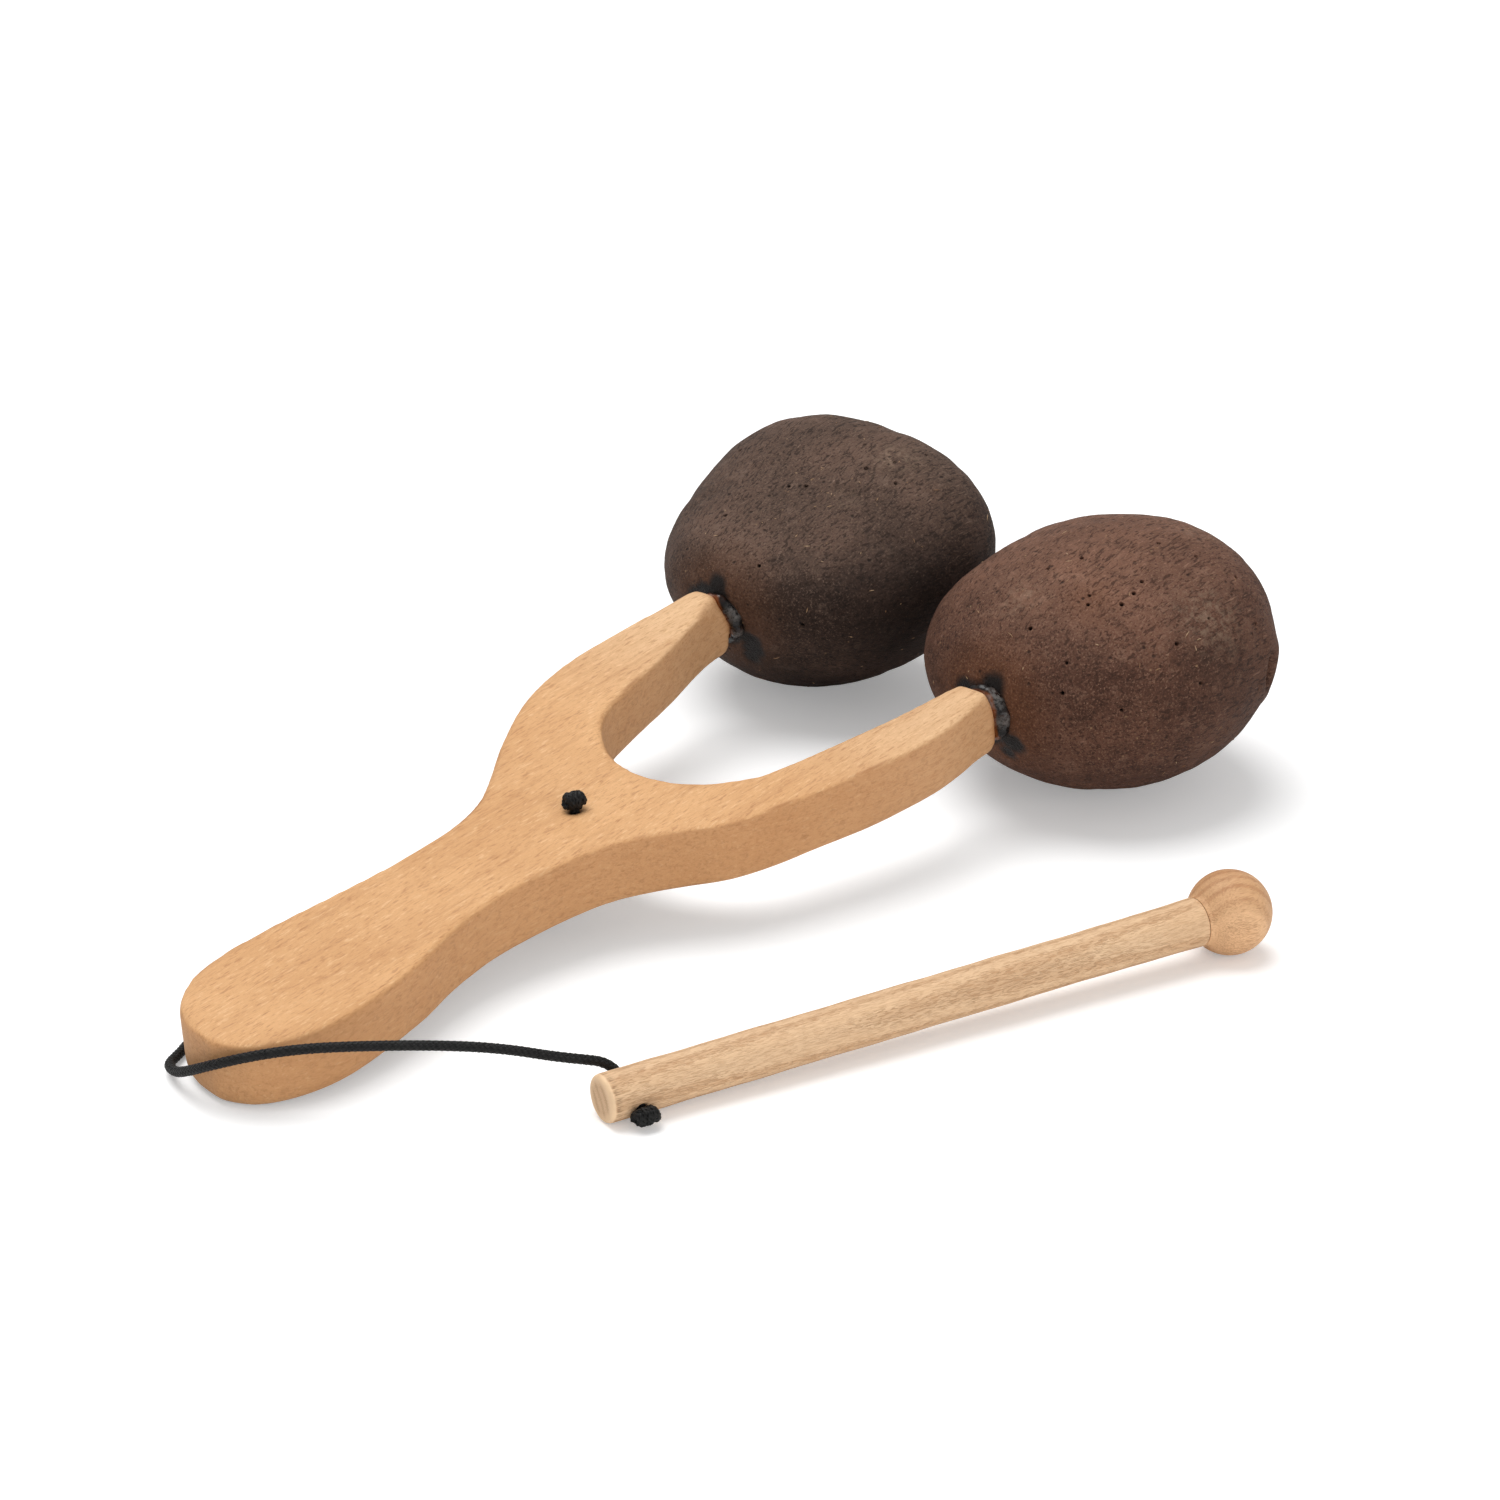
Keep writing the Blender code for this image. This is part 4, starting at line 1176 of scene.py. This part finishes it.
def build_seam(shape, material):
    """The thin line of glue squeezed out between the stick and the ball."""
    _, along, _, _, neck, radius, ball = shape
    flat = -math.sqrt(radius ** 2 - neck ** 2) - SHOULDER
    seam = Skin()
    seam.loft(turned([(neck - 0.9 * MM, flat - 0.5 * MM), (neck - 0.22 * MM, flat - 0.2 * MM),
                      (neck - 0.20 * MM, flat + 0.1 * MM), (neck - 0.9 * MM, flat + 0.4 * MM)], 96))
    mesh = seam.mesh("seam")
    mesh.flip_normals()
    piece = link("beater_joint_glue", mesh)
    settle(piece, axes(ball, VIEW_BACK, along))
    dress(piece, material, "beater")


def seam_glue():
    g = Graph("seam_glue")
    tone = g.noise(g.place(), 700.0, 3.0)
    g.colour = g.mix(tone, (0.10, 0.035, 0.012), (0.26, 0.11, 0.04))
    return g.surface(0.45, g.bump(tone, 0.0001, 0.5))


# ---- stage

def white_paper():
    """White paper that shows a little brighter than it lights the object."""
    g = Graph("white_paper")
    tone = g.noise(g.place(), 3.0, 2.0)
    g.colour = g.mix(tone, (0.90, 0.90, 0.90), (0.92, 0.92, 0.92))
    paper = g.surface(0.9, g.bump(tone, 0.0001, 0.05), 0.2)
    seen = g.node("ShaderNodeLightPath").outputs["Is Camera Ray"]
    glow = g.node("ShaderNodeEmission")
    g.put(glow.inputs["Strength"], g.times(seen, FLOOR_GLOW))
    both = g.node("ShaderNodeAddShader")
    g.put(both.inputs[0], g.shader.outputs[0])
    g.put(both.inputs[1], glow.outputs[0])
    g.put(g.tree.nodes["Material Output"].inputs["Surface"], both.outputs[0])
    return paper


def add_softbox(name, strength, angle, direction):
    lamp = bpy.data.lights.new(name, "SUN")
    lamp.energy = strength
    lamp.angle = angle
    piece = link(name, lamp)
    piece.rotation_mode = "QUATERNION"
    piece.rotation_quaternion = (-direction).to_track_quat("-Z", "Y")


def build_stage():
    mesh = bpy.data.meshes.new("floor")
    half = 8.0
    mesh.from_pydata([(-half, -half, 0), (half, -half, 0), (half, half, 0), (-half, half, 0)],
                     [], [(0, 1, 2, 3)])
    mesh.materials.append(white_paper())
    link("floor", mesh)
    scene = bpy.context.scene
    scene.world = bpy.data.worlds.new("studio")
    scene.world.use_nodes = True
    sky = scene.world.node_tree.nodes["Background"]
    sky.inputs["Color"].default_value = (1.0, 1.0, 1.0, 1.0)
    sky.inputs["Strength"].default_value = SKY_STRENGTH
    add_softbox("key", KEY_STRENGTH, KEY_ANGLE, KEY_FROM)
    add_softbox("fill", FILL_STRENGTH, FILL_ANGLE, FILL_FROM)
    scene.view_settings.view_transform = "Standard"


def build_camera():
    data = bpy.data.cameras.new("camera")
    data.lens = LENS
    data.clip_end = 20.0
    camera = link("camera", data)
    camera.location = BOX_CENTRE + CAMERA_TARGET + VIEW_BACK * CAMERA_DISTANCE
    camera.rotation_mode = "QUATERNION"
    camera.rotation_quaternion = (-VIEW_BACK).to_track_quat("-Z", "Y")
    bpy.context.scene.camera = camera


VIEW_BACK = bearing(CAMERA_AZIMUTH - 90.0, CAMERA_ELEVATION)
# The ball's figure faces this way, and its painted light and painted shade lie along the same axis.
BALL_FIGURE_AND_LIGHT = bearing(-38.0, -19.0)
# Bearings are degrees round and degrees up from a shell's middle. Those in "pins" were worked
# out by another program, from where the photograph shows pinholes, and rounded to 5 degrees.
LOOKS = {
    "left": {"seed": 11, "lip_rise": 0.3 * MM, "pin_count": 26, "flecks": 110,
             "pins": [(70, 65), (30, 65), (40, 55), (20, 50), (-105, 70), (-75, 75), (-115, 35),
                      (-75, 20), (-55, 0), (175, 40), (50, 45)],
             "warm_spots": [], "scuffs": [(45, 55, 8, 0.8), (-20, 60, 7, 0.35)],
             "painted_shade_and_dark": [(-15, -5, 34, 0.85), (-55, -50, 30, 0.8)],
             "heavy": [(80, 40, 0.5), (5, 30, 0.6)], "frost_and_sheen": [(30, 16), (-20, 10)],
             "smears": [(92, 9.5, 3.2), (150, 8.5, 3.4), (-30, 10, 3.2), (-48, 12, 3.0),
                        (-62, 13.5, 2.4)]},
    "right": {"seed": 23, "lip_rise": 0.6 * MM, "pin_count": 34, "flecks": 90,
              "pins": [(35, 65), (-90, 75), (-110, 60), (30, 50), (30, 35), (-20, 55), (-30, 50),
                       (-60, 50), (-60, 45), (-40, 45), (0, 30), (-85, 30), (20, 20), (-20, 25),
                       (-65, 20), (-65, 10), (-15, 10), (-45, 5)],
              "warm_spots": [(-60, 48, 10, 0.5)],
              "scuffs": [(0, 30, 12, 0.8), (-100, 42, 10, 0.5), (60, 50, 7, 0.5)],
              "painted_shade_and_dark": [(10, 0, 30, 0.45)],
              "heavy": [(80, 50, 0.8), (5, 40, 0.7)], "frost_and_sheen": [(55, 20), (5, 12)],
              "smears": [(150, 8.5, 3.2), (75, 7.5, 4.0), (-40, 10.5, 3.4), (-62, 12, 2.4)]},
}

SHAPES = {side: ShellShape(side) for side in LOOKS}
SKINS = {"left": shell_skin("left_shell_skin", (0.042, 0.023, 0.016), (0.098, 0.055, 0.039),
                            (0.190, 0.124, 0.092), (0.17, 0.065, 0.025), 0.0),
         "right": shell_skin("right_shell_skin", (0.080, 0.034, 0.021), (0.150, 0.068, 0.042),
                             (0.255, 0.140, 0.094), (0.22, 0.078, 0.026), 0.5)}
NYLON, GLUE, FIBRE = cord_nylon(), glue_gloss(), fibre_tan()
WOOD_TREE = BVHTree.FromBMesh(welded("fork_handle"))
for SIDE, LOOK in LOOKS.items():
    TREES[SIDE] = build_shell(SIDE, LOOK, SKINS[SIDE])
    build_flecks(SIDE, LOOK, TREES[SIDE], FIBRE)
build_handle(handle_wood())
for SIDE, LOOK in LOOKS.items():
    build_glue(SIDE, LOOK, TREES[SIDE], GLUE)
build_cord(NYLON)
BEATER = beater_shape()
build_knot("knot_on_handle", "handle_knot", "knot", PLANK_NORMAL, bearing(60, 0),
           2.05 * MM, 1.3 * MM, math.radians(-154), NYLON)
build_knot("knot_on_beater", "beater_knot", "beater", -Vector(JOINTS["beater_pivot"]["axis"]),
           BEATER[1], 2.7 * MM, 1.15 * MM, math.radians(135), NYLON)
build_stick(BEATER, turned_wood("stick_wood", (0.80, 0.56, 0.345), (0.72, 0.46, 0.262),
                                (0.52, 0.29, 0.145), 2.6 * MM, 0.02, 3.0, 0.75, 60 * MM, 1.0))
build_ball(BEATER, turned_wood("ball_wood", (0.70, 0.43, 0.235), (0.61, 0.335, 0.16),
                               (0.42, 0.18, 0.072), 3.4 * MM, -0.32, 2.0, 0.30, 9 * MM, 8.0 * MM))
build_seam(BEATER, seam_glue())
build_stage()
build_camera()
